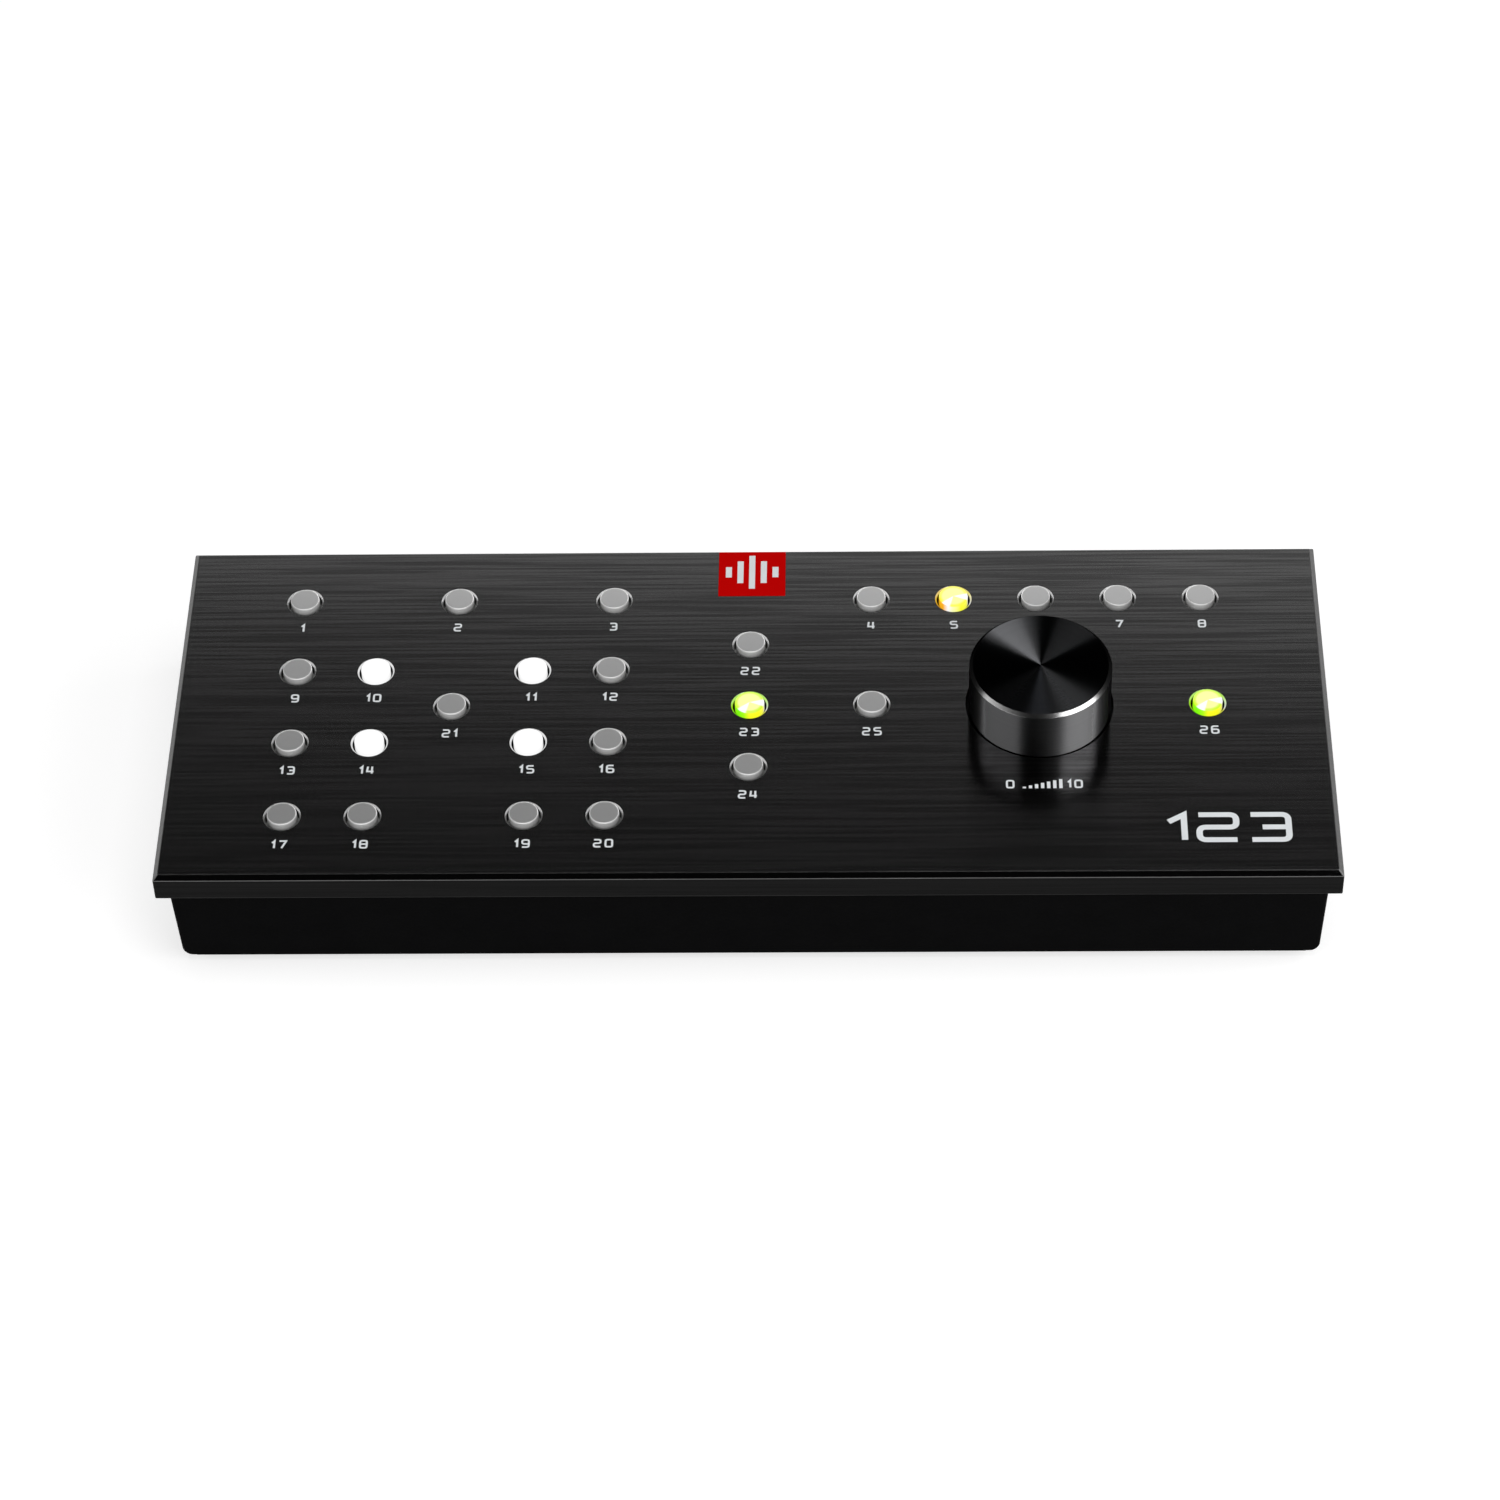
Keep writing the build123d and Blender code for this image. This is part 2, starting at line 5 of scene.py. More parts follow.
import bmesh
import bpy
from mathutils import Matrix, Vector
from mathutils.geometry import delaunay_2d_cdt


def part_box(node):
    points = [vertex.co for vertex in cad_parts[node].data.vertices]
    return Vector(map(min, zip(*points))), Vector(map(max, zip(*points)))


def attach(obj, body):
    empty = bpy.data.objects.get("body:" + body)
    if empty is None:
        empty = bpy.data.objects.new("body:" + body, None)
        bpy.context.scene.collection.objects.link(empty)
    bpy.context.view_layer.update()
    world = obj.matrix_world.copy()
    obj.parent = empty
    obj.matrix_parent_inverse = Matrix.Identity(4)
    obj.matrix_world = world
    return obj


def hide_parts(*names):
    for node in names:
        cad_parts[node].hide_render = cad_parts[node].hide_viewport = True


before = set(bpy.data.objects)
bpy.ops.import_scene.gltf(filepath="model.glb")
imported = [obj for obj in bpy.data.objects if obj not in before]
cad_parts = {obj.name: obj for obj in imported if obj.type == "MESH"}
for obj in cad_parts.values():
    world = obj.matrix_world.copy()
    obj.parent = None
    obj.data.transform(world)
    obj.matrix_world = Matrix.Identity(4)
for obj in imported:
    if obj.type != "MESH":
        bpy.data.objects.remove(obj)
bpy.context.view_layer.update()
slot_of = {name: node.material_slots[0].material.name for name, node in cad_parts.items()}

MM = 0.001

# ---------------------------------------------------------------- sizes, from the frame where it has them
cover_low, cover_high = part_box("top_cover")
knob_low, knob_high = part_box("volume_knob")
badge_low, badge_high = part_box("badge_tile")
half_width = cover_high.x
half_depth = cover_high.y
panel = cover_high.z
seam = cover_low.z

COVER_CHAMFER = 1.2 * MM
COVER_EDGE_ROUND = 0.5 * MM
COVER_CORNER_RADIUS = 0.3 * MM
FACE_THICKNESS = 3.0 * MM
RIM_WALL = 2.4 * MM  # thickness of the cover's rim round the tray
EDGE_BREAK = 0.12 * MM  # the slight rounding that a sharp machined edge has
TOP_BREAK = 0.2 * MM  # the same, between the cover's top and its chamfer
HOLE_RADIUS = 4.1 * MM
HOLE_BEVEL = 0.4 * MM
RECESS_RADIUS = 17.9 * MM
RECESS_DEPTH = 1.0 * MM
BUSHING_HOLE_RADIUS = 3.7 * MM
BADGE_CLEARANCE = 0.05 * MM
BADGE_SEAT_REACH = 1 * MM  # of the seat's cutter, from front to back, over the badge's depth
BADGE_SEAT_HEIGHT = 2 * MM
CUT_MARGIN = 0.3 * MM  # how far a cutter goes beyond the faces that it opens

CAP_RADIUS = 3.575 * MM
CAP_EDGE_RADIUS = 0.35 * MM
CAP_FLANGE_RADIUS = 4.8 * MM
CAP_UNDER = -5.15 * MM  # from the cap's top
CAP_FLANGE_HEIGHT = 0.8 * MM
CAP_WALL_TOP = 1.4 * MM
CAP_RIM_STEPS = 8
CAP_RIM_HOLD = 0.03 * MM  # from the rim's rounding in to the point that keeps the top flat
CAP_SIDE_HOLD = 0.02 * MM  # from the rim's rounding down to the point that keeps the side straight
CAP_GAP = 0.02 * MM  # between the plunger's top and the cap over it
PLUNGER_RADIUS = 2.2 * MM
PLUNGER_BORE = 1.6 * MM

KNOB_CHAMFER = 0.8 * MM
KNOB_DISH = 0.1 * MM  # how far the turned top sinks from its rim to its centre
GROOVE_LEAN = math.radians(18)  # of the turned top's grooves towards its centre
KNOB_SKIRT_RADIUS = 8.0 * MM
KNOB_CEILING = 3.0 * MM  # of the hollow under the knob, from the knob's lower face
KNOB_BORE_RADIUS = 3.02 * MM
KNOB_BORE_DEPTH = 6.8 * MM
SET_SCREW_RADIUS = 1.55 * MM
SET_SCREW_HEIGHT = 6.4 * MM
SET_SCREW_STEPS = 32

CIRCLE_STEPS = 96
KNOB_STEPS = 256
BREAK_STEPS = 3
SQUARE_CORNER_STEPS = 4
HOLD = 0.15  # how far flats are held flat beside a rounding, as a part of its reach
CORNER_HOLD = 0.3  # the same beside the corners of a rectangle, as a part of their radius
MOST_REACH = 0.5  # of a rounding and its hold, as a part of the side that they lie on
SMOOTH_ANGLE = math.radians(12)
WELD_DISTANCE = 1e-7

INK_THICKNESS = 0.02 * MM
LABEL_DROP = 8.9 * MM  # from a button's centre forward to its number


# ---------------------------------------------------------------- mesh helpers
def soften(profile, steps=BREAK_STEPS, hold=0.0):
    """Rounds the corners of an open profile. Its points are (u, v, size), where size is the rounding's reach.
    With hold, one more point on either side, by that part of the reach further out, keeps the flats flat."""
    softened = []
    for i, (u, v, size) in enumerate(profile):
        corner = Vector((u, v))
        if size == 0 or i in (0, len(profile) - 1):
            softened.append(corner)
            continue
        before = Vector(profile[i - 1][:2]) - corner
        after = Vector(profile[i + 1][:2]) - corner
        before *= min(size / before.length, MOST_REACH / (1 + hold))
        after *= min(size / after.length, MOST_REACH / (1 + hold))
        if hold:
            softened.append(corner + before * (1 + hold))
        for k in range(steps + 1):
            t = k / steps
            softened.append(corner + before * (1 - t) ** 2 + after * t**2)
        if hold:
            softened.append(corner + after * (1 + hold))
    return softened


def rounded_rectangle(half_x, half_y, radius, z):
    """A closed loop of points, anticlockwise from the right-hand front corner. One point before and one after
    each corner's arc keep the straight sides flat."""
    loop = []
    hold = CORNER_HOLD * radius
    for side_x, side_y, start in ((1, -1, -90), (1, 1, 0), (-1, 1, 90), (-1, -1, 180)):
        centre = Vector((side_x * (half_x - radius), side_y * (half_y - radius), z))
        corner = []
        for k in range(SQUARE_CORNER_STEPS + 1):
            angle = math.radians(start + 90 * k / SQUARE_CORNER_STEPS)
            corner.append(Vector((math.cos(angle), math.sin(angle), 0)) * radius)
        first = corner[0] - corner[-1].normalized() * hold
        last = corner[-1] - corner[0].normalized() * hold
        loop += [centre + point for point in (first, *corner, last)]
    return loop


def circle(radius, z, steps):
    """A closed loop of points round the Z axis, or one point where the radius is nought."""
    if radius == 0:
        return [Vector((0, 0, z))]
    angles = [2 * math.pi * k / steps for k in range(steps)]
    return [Vector((radius * math.cos(a), radius * math.sin(a), z)) for a in angles]


def skin(bm, loops, materials=None):
    """Joins closed loops by strips of faces and closes the first and last loop. Each strip may have a
    material number."""
    rings = [[bm.verts.new(point) for point in loop] for loop in loops]
    for i in range(len(rings) - 1):
        near, far = rings[i], rings[i + 1]
        count = max(len(near), len(far))
        for k in range(count):
            start, end = near[k % len(near)], near[(k + 1) % len(near)]
            corners = [start, end, far[(k + 1) % len(far)], far[k % len(far)]]
            face = bm.faces.new(list(dict.fromkeys(corners)))
            face.material_index = materials[i] if materials else 0
    for ring, number in ((rings[0], 0), (rings[-1], -1)):
        if len(ring) > 2:
            cap = bm.faces.new(ring)
            cap.material_index = materials[number] if materials else 0


def turned(bm, profile, steps=CIRCLE_STEPS, materials=None, place=(0, 0)):
    """A solid of revolution from a profile of (radius, height) points, round the upright through a place."""
    axis = Vector((*place, 0))
    skin(bm, [[point + axis for point in circle(radius, z, steps)] for radius, z in profile], materials)


def finished_mesh(bm, name):
    """The mesh of a bmesh, with outward normals, smooth where it curves and sharp at its edges."""
    bmesh.ops.remove_doubles(bm, verts=bm.verts, dist=WELD_DISTANCE)
    bmesh.ops.recalc_face_normals(bm, faces=bm.faces)
    mesh = bpy.data.meshes.new(name)
    bm.to_mesh(mesh)
    bm.free()
    smooth_curves(mesh)
    return mesh


def smooth_curves(mesh):
    """Shades a mesh smooth, but for the edges that turn by more than the smooth angle."""
    mesh.shade_smooth()
    mesh.set_sharp_from_angle(angle=SMOOTH_ANGLE)


def subtract(mesh, cutter):
    """The mesh less the cutter, which is then thrown away."""
    solid = bpy.data.objects.new("solid", mesh)
    tool = bpy.data.objects.new("tool", cutter)
    for thing in (solid, tool):
        bpy.context.scene.collection.objects.link(thing)
    cut = solid.modifiers.new("cut", "BOOLEAN")
    cut.operation = "DIFFERENCE"
    cut.solver = "EXACT"
    cut.object = tool
    graph = bpy.context.evaluated_depsgraph_get()
    result = bpy.data.meshes.new_from_object(solid.evaluated_get(graph))
    result.name = mesh.name
    for thing in (solid, tool):
        bpy.data.objects.remove(thing)
    smooth_curves(result)
    return result


def add_piece(name, mesh, body, materials, place=(0, 0, 0), replaces=()):
    """Adds a piece that rides on a body, gets the given materials and may stand for CAD nodes, which it hides.
    """
    piece = bpy.data.objects.new(name, mesh)
    bpy.context.scene.collection.objects.link(piece)
    piece.location = place
    mesh.materials.clear()
    for material in materials:
        mesh.materials.append(material)
    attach(piece, body)
    if replaces:
        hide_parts(*replaces)
    return piece


# ---------------------------------------------------------------- material helpers
NOISE_ROUGHNESS = 0.55
BRUSH_GRAIN = (22, 1300, 1300)  # cycles per metre along, across and down
BRUSH_ANISOTROPY = 0.9
FINE_LINES = (0.4, 0.6)  # the noise values that become 0 and 1, so that the lines stand out
BROAD_GRAIN = 0.3  # of the fine lines' cycles
FINE_SHARE = 0.9
BROAD_SHARE = 0.1
BRUSH_GLOSS_CHANGE = 0.01  # part of the roughness
BRUSH_RELIEF = 0.005 * MM
RING_CONTRAST = 0.2
GLOSS_CHANGE = 0.1  # part of the roughness, on turned and mottled surfaces
PATCH_SIZE = 12  # times the size of the spots
SPOT_BUMP = 0.5


def srgb(red, green, blue):
    """A linear colour from the 0 to 255 values that it shows as."""
    def linear(value):
        value /= 255
        return value / 12.92 if value <= 0.04045 else ((value + 0.055) / 1.055) ** 2.4

    return (linear(red), linear(green), linear(blue), 1)


def add_node(tree, kind, inputs=None, **settings):
    """Adds a node, sets its settings, and links or sets its inputs by name or number."""
    made = tree.nodes.new(kind)
    for key, value in settings.items():
        setattr(made, key, value)
    for key, value in (inputs or {}).items():
        if isinstance(value, bpy.types.NodeSocket):
            tree.links.new(value, made.inputs[key])
        else:
            made.inputs[key].default_value = value
    return made


def new_material(name, **sockets):
    """A Principled material with the given constant sockets, its node tree and its shader."""
    material = bpy.data.materials.new(name)
    material.use_nodes = True
    tree = material.node_tree
    shader = tree.nodes["Principled BSDF"]
    for key, value in sockets.items():
        shader.inputs[key.replace("_", " ")].default_value = value
    return material, tree, shader


def object_point(tree, scale=(1, 1, 1)):
    """The shaded point in the piece's own coordinates, scaled."""
    place = add_node(tree, "ShaderNodeTexCoord").outputs["Object"]
    return add_node(tree, "ShaderNodeMapping", {"Vector": place, "Scale": scale}).outputs["Vector"]


def noise(tree, scale, detail=3.0, low=0.3, high=0.7, vector=None):
    """Noise from 0 to 1 over the piece, in cycles per metre along each axis, or over a given vector."""
    point = vector or object_point(tree, scale)
    inputs = {"Vector": point, "Scale": 1, "Detail": detail, "Roughness": NOISE_ROUGHNESS}
    raw = add_node(tree, "ShaderNodeTexNoise", inputs)
    inputs = {"Value": raw.outputs[0], "From Min": low, "From Max": high}
    return add_node(tree, "ShaderNodeMapRange", inputs).outputs["Result"]


def blend(tree, factor, first, second):
    """A colour between two others. The numbers are the colour sockets of the mix node."""
    return add_node(tree, "ShaderNodeMix", {0: factor, 6: first, 7: second}, data_type="RGBA").outputs[2]


def math_node(tree, operation, *values):
    return add_node(tree, "ShaderNodeMath", dict(enumerate(values)), operation=operation).outputs[0]


def spread(tree, value, low, high):
    """A 0 to 1 value stretched to lie between low and high."""
    inputs = {"Value": value, "To Min": low, "To Max": high}
    return add_node(tree, "ShaderNodeMapRange", inputs).outputs["Result"]


def smooth_step(tree, value, start, end):
    """0 up to the start, 1 from the end on, a smooth change between them. The start may be the greater."""
    inputs = {"Value": value, "From Min": start, "From Max": end}
    return add_node(tree, "ShaderNodeMapRange", inputs, interpolation_type="SMOOTHSTEP").outputs["Result"]


def radius_of(tree, x, y):
    """The distance from the Z axis."""
    squares = [math_node(tree, "MULTIPLY", value, value) for value in (x, y)]
    return math_node(tree, "SQRT", math_node(tree, "ADD", *squares))


def mixed(tree, first, first_share, second, second_share):
    """The sum of two values, each times its share."""
    first_part = math_node(tree, "MULTIPLY", first, first_share)
    return math_node(tree, "ADD", first_part, math_node(tree, "MULTIPLY", second, second_share))


def bump(tree, shader, height, distance, strength=1.0):
    inputs = {"Height": height, "Distance": distance, "Strength": strength}
    tree.links.new(add_node(tree, "ShaderNodeBump", inputs).outputs["Normal"], shader.inputs["Normal"])


def scaled(colour, factor):
    return (colour[0] * factor, colour[1] * factor, colour[2] * factor, 1)


def set_colour(tree, shader, colour, contrast, tone):
    """Makes the base colour vary about a colour by a contrast, along a 0 to 1 tone."""
    dark, light = scaled(colour, 1 - contrast), scaled(colour, 1 + contrast)
    tree.links.new(blend(tree, tone, dark, light), shader.inputs["Base Color"])


def set_tangent(tree, shader, axis):
    """Makes an anisotropic gloss follow the direction round an axis."""
    tangent = add_node(tree, "ShaderNodeTangent", direction_type="RADIAL", axis=axis)
    tree.links.new(tangent.outputs[0], shader.inputs["Tangent"])


# ---------------------------------------------------------------- materials
def brushed_metal(name, colour, roughness, contrast=0.26, **sockets):
    """Anodised aluminium brushed in straight lines along X."""
    material, tree, shader = new_material(name, Metallic=1.0, Anisotropic=BRUSH_ANISOTROPY, **sockets)
    fine = noise(tree, BRUSH_GRAIN, detail=2, low=FINE_LINES[0], high=FINE_LINES[1])
    broad = noise(tree, [cycles * BROAD_GRAIN for cycles in BRUSH_GRAIN], detail=2)
    lines = mixed(tree, fine, FINE_SHARE, broad, BROAD_SHARE)
    set_colour(tree, shader, colour, contrast, lines)
    dull, glossy = roughness * (1 + BRUSH_GLOSS_CHANGE), roughness * (1 - BRUSH_GLOSS_CHANGE)
    tree.links.new(spread(tree, lines, dull, glossy), shader.inputs["Roughness"])
    set_tangent(tree, shader, "X")
    bump(tree, shader, fine, BRUSH_RELIEF)
    return material


def turned_metal(name, colour, roughness, anisotropy, ring_pitch, lean=0.0, **sockets):
    """Metal turned on a lathe: fine rings round its own Z axis, whose grooves may lean to the centre."""
    material, tree, shader = new_material(
        name, Metallic=1.0, Anisotropic=anisotropy, Anisotropic_Rotation=0.25, **sockets
    )
    x, y, z = add_node(tree, "ShaderNodeSeparateXYZ", {"Vector": object_point(tree)}).outputs
    radius = radius_of(tree, x, y)
    along = add_node(tree, "ShaderNodeCombineXYZ", {"X": radius, "Y": z})
    inputs = {0: along.outputs[0], 3: 1 / ring_pitch}
    scale = add_node(tree, "ShaderNodeVectorMath", inputs, operation="SCALE")
    rings = noise(tree, None, detail=3, vector=scale.outputs[0])
    set_colour(tree, shader, colour, RING_CONTRAST, rings)
    dull, glossy = roughness * (1 + GLOSS_CHANGE), roughness * (1 - GLOSS_CHANGE)
    tree.links.new(spread(tree, rings, dull, glossy), shader.inputs["Roughness"])
    set_tangent(tree, shader, "Z")
    if lean:
        bump(tree, shader, radius, math.tan(lean))
    return material


def textured(name, colour, roughness, grain=900, contrast=0.12, relief=0.01 * MM, **sockets):
    """A mottled surface with a fine relief: powder coat, plastic, rubber, epoxy, ink or plated metal."""
    material, tree, shader = new_material(name, **sockets)
    spots = noise(tree, (grain,) * 3, detail=3)
    patches = noise(tree, (grain / PATCH_SIZE,) * 3, detail=2)
    tone = mixed(tree, spots, 0.5, patches, 0.5)
    set_colour(tree, shader, colour, contrast, tone)
    glossy, dull = roughness * (1 - GLOSS_CHANGE), min(1, roughness * (1 + GLOSS_CHANGE))
    tree.links.new(spread(tree, tone, glossy, dull), shader.inputs["Roughness"])
    bump(tree, shader, spots, relief, SPOT_BUMP)
    return material


# ---------------------------------------------------------------- camera
CAMERA_PLACE = Vector((29.64, -772.58, 858.50)) * MM
CAMERA_AIM = Vector((0.31, -14.23, 34.80)) * MM
CAMERA_ROLL = math.radians(-1.907)
CAMERA_LENS = 111.86
SENSOR_WIDTH = 36


def add_camera():
    camera = bpy.data.cameras.new("camera")
    camera.lens = CAMERA_LENS
    camera.sensor_width = SENSOR_WIDTH
    holder = bpy.data.objects.new("camera", camera)
    bpy.context.scene.collection.objects.link(holder)
    aim = (CAMERA_AIM - CAMERA_PLACE).to_track_quat("-Z", "Y").to_matrix()
    turn = aim @ Matrix.Rotation(CAMERA_ROLL, 3, "Z")
    holder.matrix_world = Matrix.Translation(CAMERA_PLACE) @ turn.to_4x4()
    bpy.context.scene.camera = holder


add_camera()

# ---------------------------------------------------------------- materials of this controller
WHITE = (1, 1, 1, 1)
BLACK = (0, 0, 0, 1)
DARK_EDGE = (0.1, 0.1, 0.1, 1)  # keeps a dark metal dark where it is seen aslant
GREY_EDGE = (0.4, 0.4, 0.4, 1)
RING_PITCH = 0.12 * MM  # of the knob's turned rings

panel_top = brushed_metal("panel_top", (0.18, 0.18, 0.18, 1), 0.19, Specular_Tint=GREY_EDGE)
panel_chamfer = brushed_metal("panel_chamfer", (0.09, 0.09, 0.09, 1), 0.12, contrast=0.1)
panel_edge = textured("panel_edge", (0.15, 0.15, 0.15, 1), 0.4, Metallic=1.0)
# The sides, lip, recess and underside of the cover are written near black against 0.18 for its top: painted
# shade.
shaded_panel_sides = brushed_metal("shaded_panel_sides", (0.004, 0.004, 0.004, 1), 0.3)
hole_rim = turned_metal("hole_rim", (0.7, 0.7, 0.7, 1), 0.2, 0.5, 0.05 * MM)
hole_wall = turned_metal("hole_wall", (0.03, 0.03, 0.03, 1), 0.4, 0.5, 0.2 * MM)
knob_side = turned_metal(
    "knob_side", (0.05, 0.05, 0.051, 1), 0.37, 1.0, RING_PITCH, Specular_Tint=DARK_EDGE
)
knob_top = turned_metal(
    "knob_top", (0.026, 0.0265, 0.0277, 1), 0.3, 1.0, RING_PITCH, lean=GROOVE_LEAN, Specular_Tint=DARK_EDGE
)
knob_edge = turned_metal(
    "knob_edge", (0.06, 0.06, 0.06, 1), 0.24, 0.3, 0.1 * MM, Specular_Tint=DARK_EDGE
)
ink = textured("legend_ink", srgb(232, 236, 238), 0.5, grain=2500, contrast=0.04, relief=0.002 * MM)

MATERIALS = {
    "panel_anodised": panel_top,
    "tray_powder_coat": textured(
        "tray_powder_coat", (0.004, 0.004, 0.0042, 1), 0.5, grain=1400, contrast=0.3, relief=0.02 * MM,
        Specular_IOR_Level=0.008,
    ),
    "badge_red": textured(
        "badge_red", srgb(196, 1, 1), 0.3, grain=500, contrast=0.03, relief=0.003 * MM, Specular_IOR_Level=0.1
    ),
    "foot_rubber": textured(
        "foot_rubber", (0.012, 0.012, 0.012, 1), 0.75, grain=2200, contrast=0.3, relief=0.03 * MM
    ),
    "fastener_steel": textured("fastener_steel", (0.55, 0.55, 0.56, 1), 0.32, Metallic=1.0),
    "spacer_aluminium": textured("spacer_aluminium", (0.72, 0.72, 0.73, 1), 0.35, Metallic=1.0),
    "screw_black": textured("screw_black", (0.02, 0.02, 0.022, 1), 0.4, Metallic=0.6),
    "board_laminate": textured("board_laminate", (0.012, 0.07, 0.03, 1), 0.42, grain=700, contrast=0.2),
    "chip_epoxy": textured("chip_epoxy", (0.014, 0.014, 0.016, 1), 0.55, grain=3000, contrast=0.25),
    "can_metal": textured("can_metal", (0.6, 0.6, 0.62, 1), 0.3, Metallic=1.0),
    "switch_plastic": textured("switch_plastic", (0.03, 0.03, 0.032, 1), 0.45, grain=1800),
    "contact_metal": textured("contact_metal", (0.85, 0.62, 0.28, 1), 0.25, Metallic=1.0),
    "led_lens": textured("led_lens", (0.75, 0.74, 0.6, 1), 0.2, grain=3000, contrast=0.05),
    "encoder_zinc": textured("encoder_zinc", (0.5, 0.5, 0.5, 1), 0.38, Metallic=1.0),
    "knob_anodised": knob_side,
    "socket_plastic": textured("socket_plastic", (0.012, 0.012, 0.013, 1), 0.4, grain=1500, contrast=0.2),
    "socket_shell": textured("socket_shell", (0.6, 0.6, 0.61, 1), 0.28, Metallic=1.0),
}


CAP_RINGS = 6000  # cycles per metre of the fine rings in an unlit cap's top
UNLIT_RIM_HIGHLIGHT = (0.02 * MM, 0.16 * MM)  # from the flat top outwards, where the lighter rim and side begin and are full: painted highlight on the rim, painted light on the side
LIT_RIM = (1.1 * MM, 0.25 * MM)  # the same of a lit cap's colour, from the cap's side inwards
LIT_SIDE = (-0.12 * MM, -0.3 * MM)  # from the top, where its side's colour begins and is full
LIT_HOLE_SHADE = (-1.9 * MM, -2.9 * MM)  # from the top, where painted shade in the hole begins to dim its light and where it is black
PAINTED_HIGHLIGHT_SECTORS = ((-4, 19, 5), (-124, 20, 6))  # painted highlights as bright sectors: middle, half width and softness in degrees


def cap_coordinates(tree):
    """The angle round a cap's axis in radians, the radius and the height from the top, in its own frame."""
    x, y, z = add_node(tree, "ShaderNodeSeparateXYZ", {"Vector": object_point(tree)}).outputs
    return math_node(tree, "ARCTAN2", y, x), radius_of(tree, x, y), z


def unlit_cap():
    """Milky plastic: a greyer flat top within a lighter rim and side, under a clear skin. The lighter rim is a
    painted highlight and the lighter side painted light.
    """
    material, tree, shader = new_material(
        "cap_unlit", Specular_IOR_Level=0.9, Coat_Weight=1.0, Coat_Roughness=0.3, Coat_IOR=2.6
    )
    radius = cap_coordinates(tree)[1]
    along = add_node(tree, "ShaderNodeCombineXYZ", {"X": math_node(tree, "MULTIPLY", radius, CAP_RINGS)})
    rings = noise(tree, None, vector=along.outputs[0])
    flat_radius = CAP_RADIUS - CAP_EDGE_RADIUS
    # The rim and side are written at 0.85 against 0.22 for the top: painted highlight on the rim, painted light
    # on the side.
    rim = smooth_step(tree, radius, flat_radius + UNLIT_RIM_HIGHLIGHT[0], flat_radius + UNLIT_RIM_HIGHLIGHT[1])
    flat = blend(tree, rings, (0.22, 0.22, 0.22, 1), (0.24, 0.24, 0.239, 1))
    tree.links.new(blend(tree, rim, flat, (0.85, 0.85, 0.84, 1)), shader.inputs["Base Color"])
    tree.links.new(spread(tree, rings, 0.4, 0.46), shader.inputs["Roughness"])
    return material


def sector(tree, angle, centre, half, soft):
    """1 inside a sector round the cap's axis and 0 outside it, with a soft edge. Angles in degrees."""
    away = math_node(tree, "ABSOLUTE", math_node(tree, "SUBTRACT", angle, math.radians(centre)))
    return smooth_step(tree, away, math.radians(half + soft), math.radians(half - soft))


def side_colour(tree, angle, stops):
    """The colour at an angle round the cap's axis, from stops of degrees and colour."""
    turn = math_node(tree, "MULTIPLY_ADD", angle, 1 / (2 * math.pi), 0.5)
    ramp = add_node(tree, "ShaderNodeValToRGB", {"Fac": turn})
    while len(ramp.color_ramp.elements) < len(stops):
        ramp.color_ramp.elements.new(0.5)
    for element, (degrees, colour) in zip(ramp.color_ramp.elements, stops):
        element.position = degrees / 360 + 0.5
        element.color = colour
    return ramp.outputs["Color"]


def lit_cap(name, top, edge, side_stops):
    """A cap lit from inside: two bright sectors on its top, which are painted highlights, and a coloured side.
    """
    material, tree, shader = new_material(
        name, Base_Color=(0.02, 0.02, 0.02, 1), Roughness=0.3, Coat_Weight=0.5, Coat_Roughness=0.08,
        Emission_Strength=1.0,
    )
    angle, radius, height = cap_coordinates(tree)
    # The bright sectors are painted highlights, fixed to the cap.
    sector_highlight = math_node(tree, "MAXIMUM", *[sector(tree, angle, *shape) for shape in PAINTED_HIGHLIGHT_SECTORS])
    rim = smooth_step(tree, radius, CAP_RADIUS - LIT_RIM[0], CAP_RADIUS - LIT_RIM[1])
    rim = math_node(tree, "MULTIPLY", rim, math_node(tree, "SUBTRACT", 1.0, sector_highlight))
    lens = blend(tree, rim, blend(tree, sector_highlight, top, WHITE), edge)
    shown = blend(tree, smooth_step(tree, height, *LIT_SIDE), lens, side_colour(tree, angle, side_stops))
    # Painted shade: the cap's light darkens to black deep in the hole.
    hole_shade = smooth_step(tree, height, *LIT_HOLE_SHADE)
    tree.links.new(blend(tree, hole_shade, shown, BLACK), shader.inputs["Emission Color"])
    return material


CAP_MATERIALS = {
    "cap_unlit": unlit_cap(),
    "cap_lit_white": lit_cap("cap_lit_white", WHITE, WHITE, [(-180, WHITE), (180, WHITE)]),
    "cap_lit_amber": lit_cap(
        "cap_lit_amber", srgb(255, 255, 160), srgb(255, 250, 60),
        # The white stops at -112 and -8 degrees are painted highlights down the side.
        [(-180, srgb(255, 190, 30)), (-135, srgb(255, 178, 25)), (-112, WHITE), (-95, srgb(255, 255, 190)),
         (-60, srgb(255, 255, 50)), (-22, srgb(255, 255, 90)), (-8, WHITE), (40, srgb(255, 240, 90)),
         (180, srgb(255, 200, 40))],
    ),
    "cap_lit_green": lit_cap(
        "cap_lit_green", srgb(255, 255, 165), srgb(215, 255, 40),
        # The white stop at -8 degrees is a painted highlight down the side.
        [(-180, srgb(180, 255, 20)), (-140, srgb(125, 255, 10)), (-112, srgb(170, 255, 20)),
         (-90, srgb(255, 255, 30)), (-50, srgb(255, 255, 30)), (-22, srgb(255, 255, 100)), (-8, WHITE),
         (40, srgb(190, 255, 60)), (180, srgb(180, 255, 20))],
    ),
}

MATERIALS.update(CAP_MATERIALS)
for name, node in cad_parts.items():
    node.material_slots[0].material = MATERIALS[slot_of[name]]


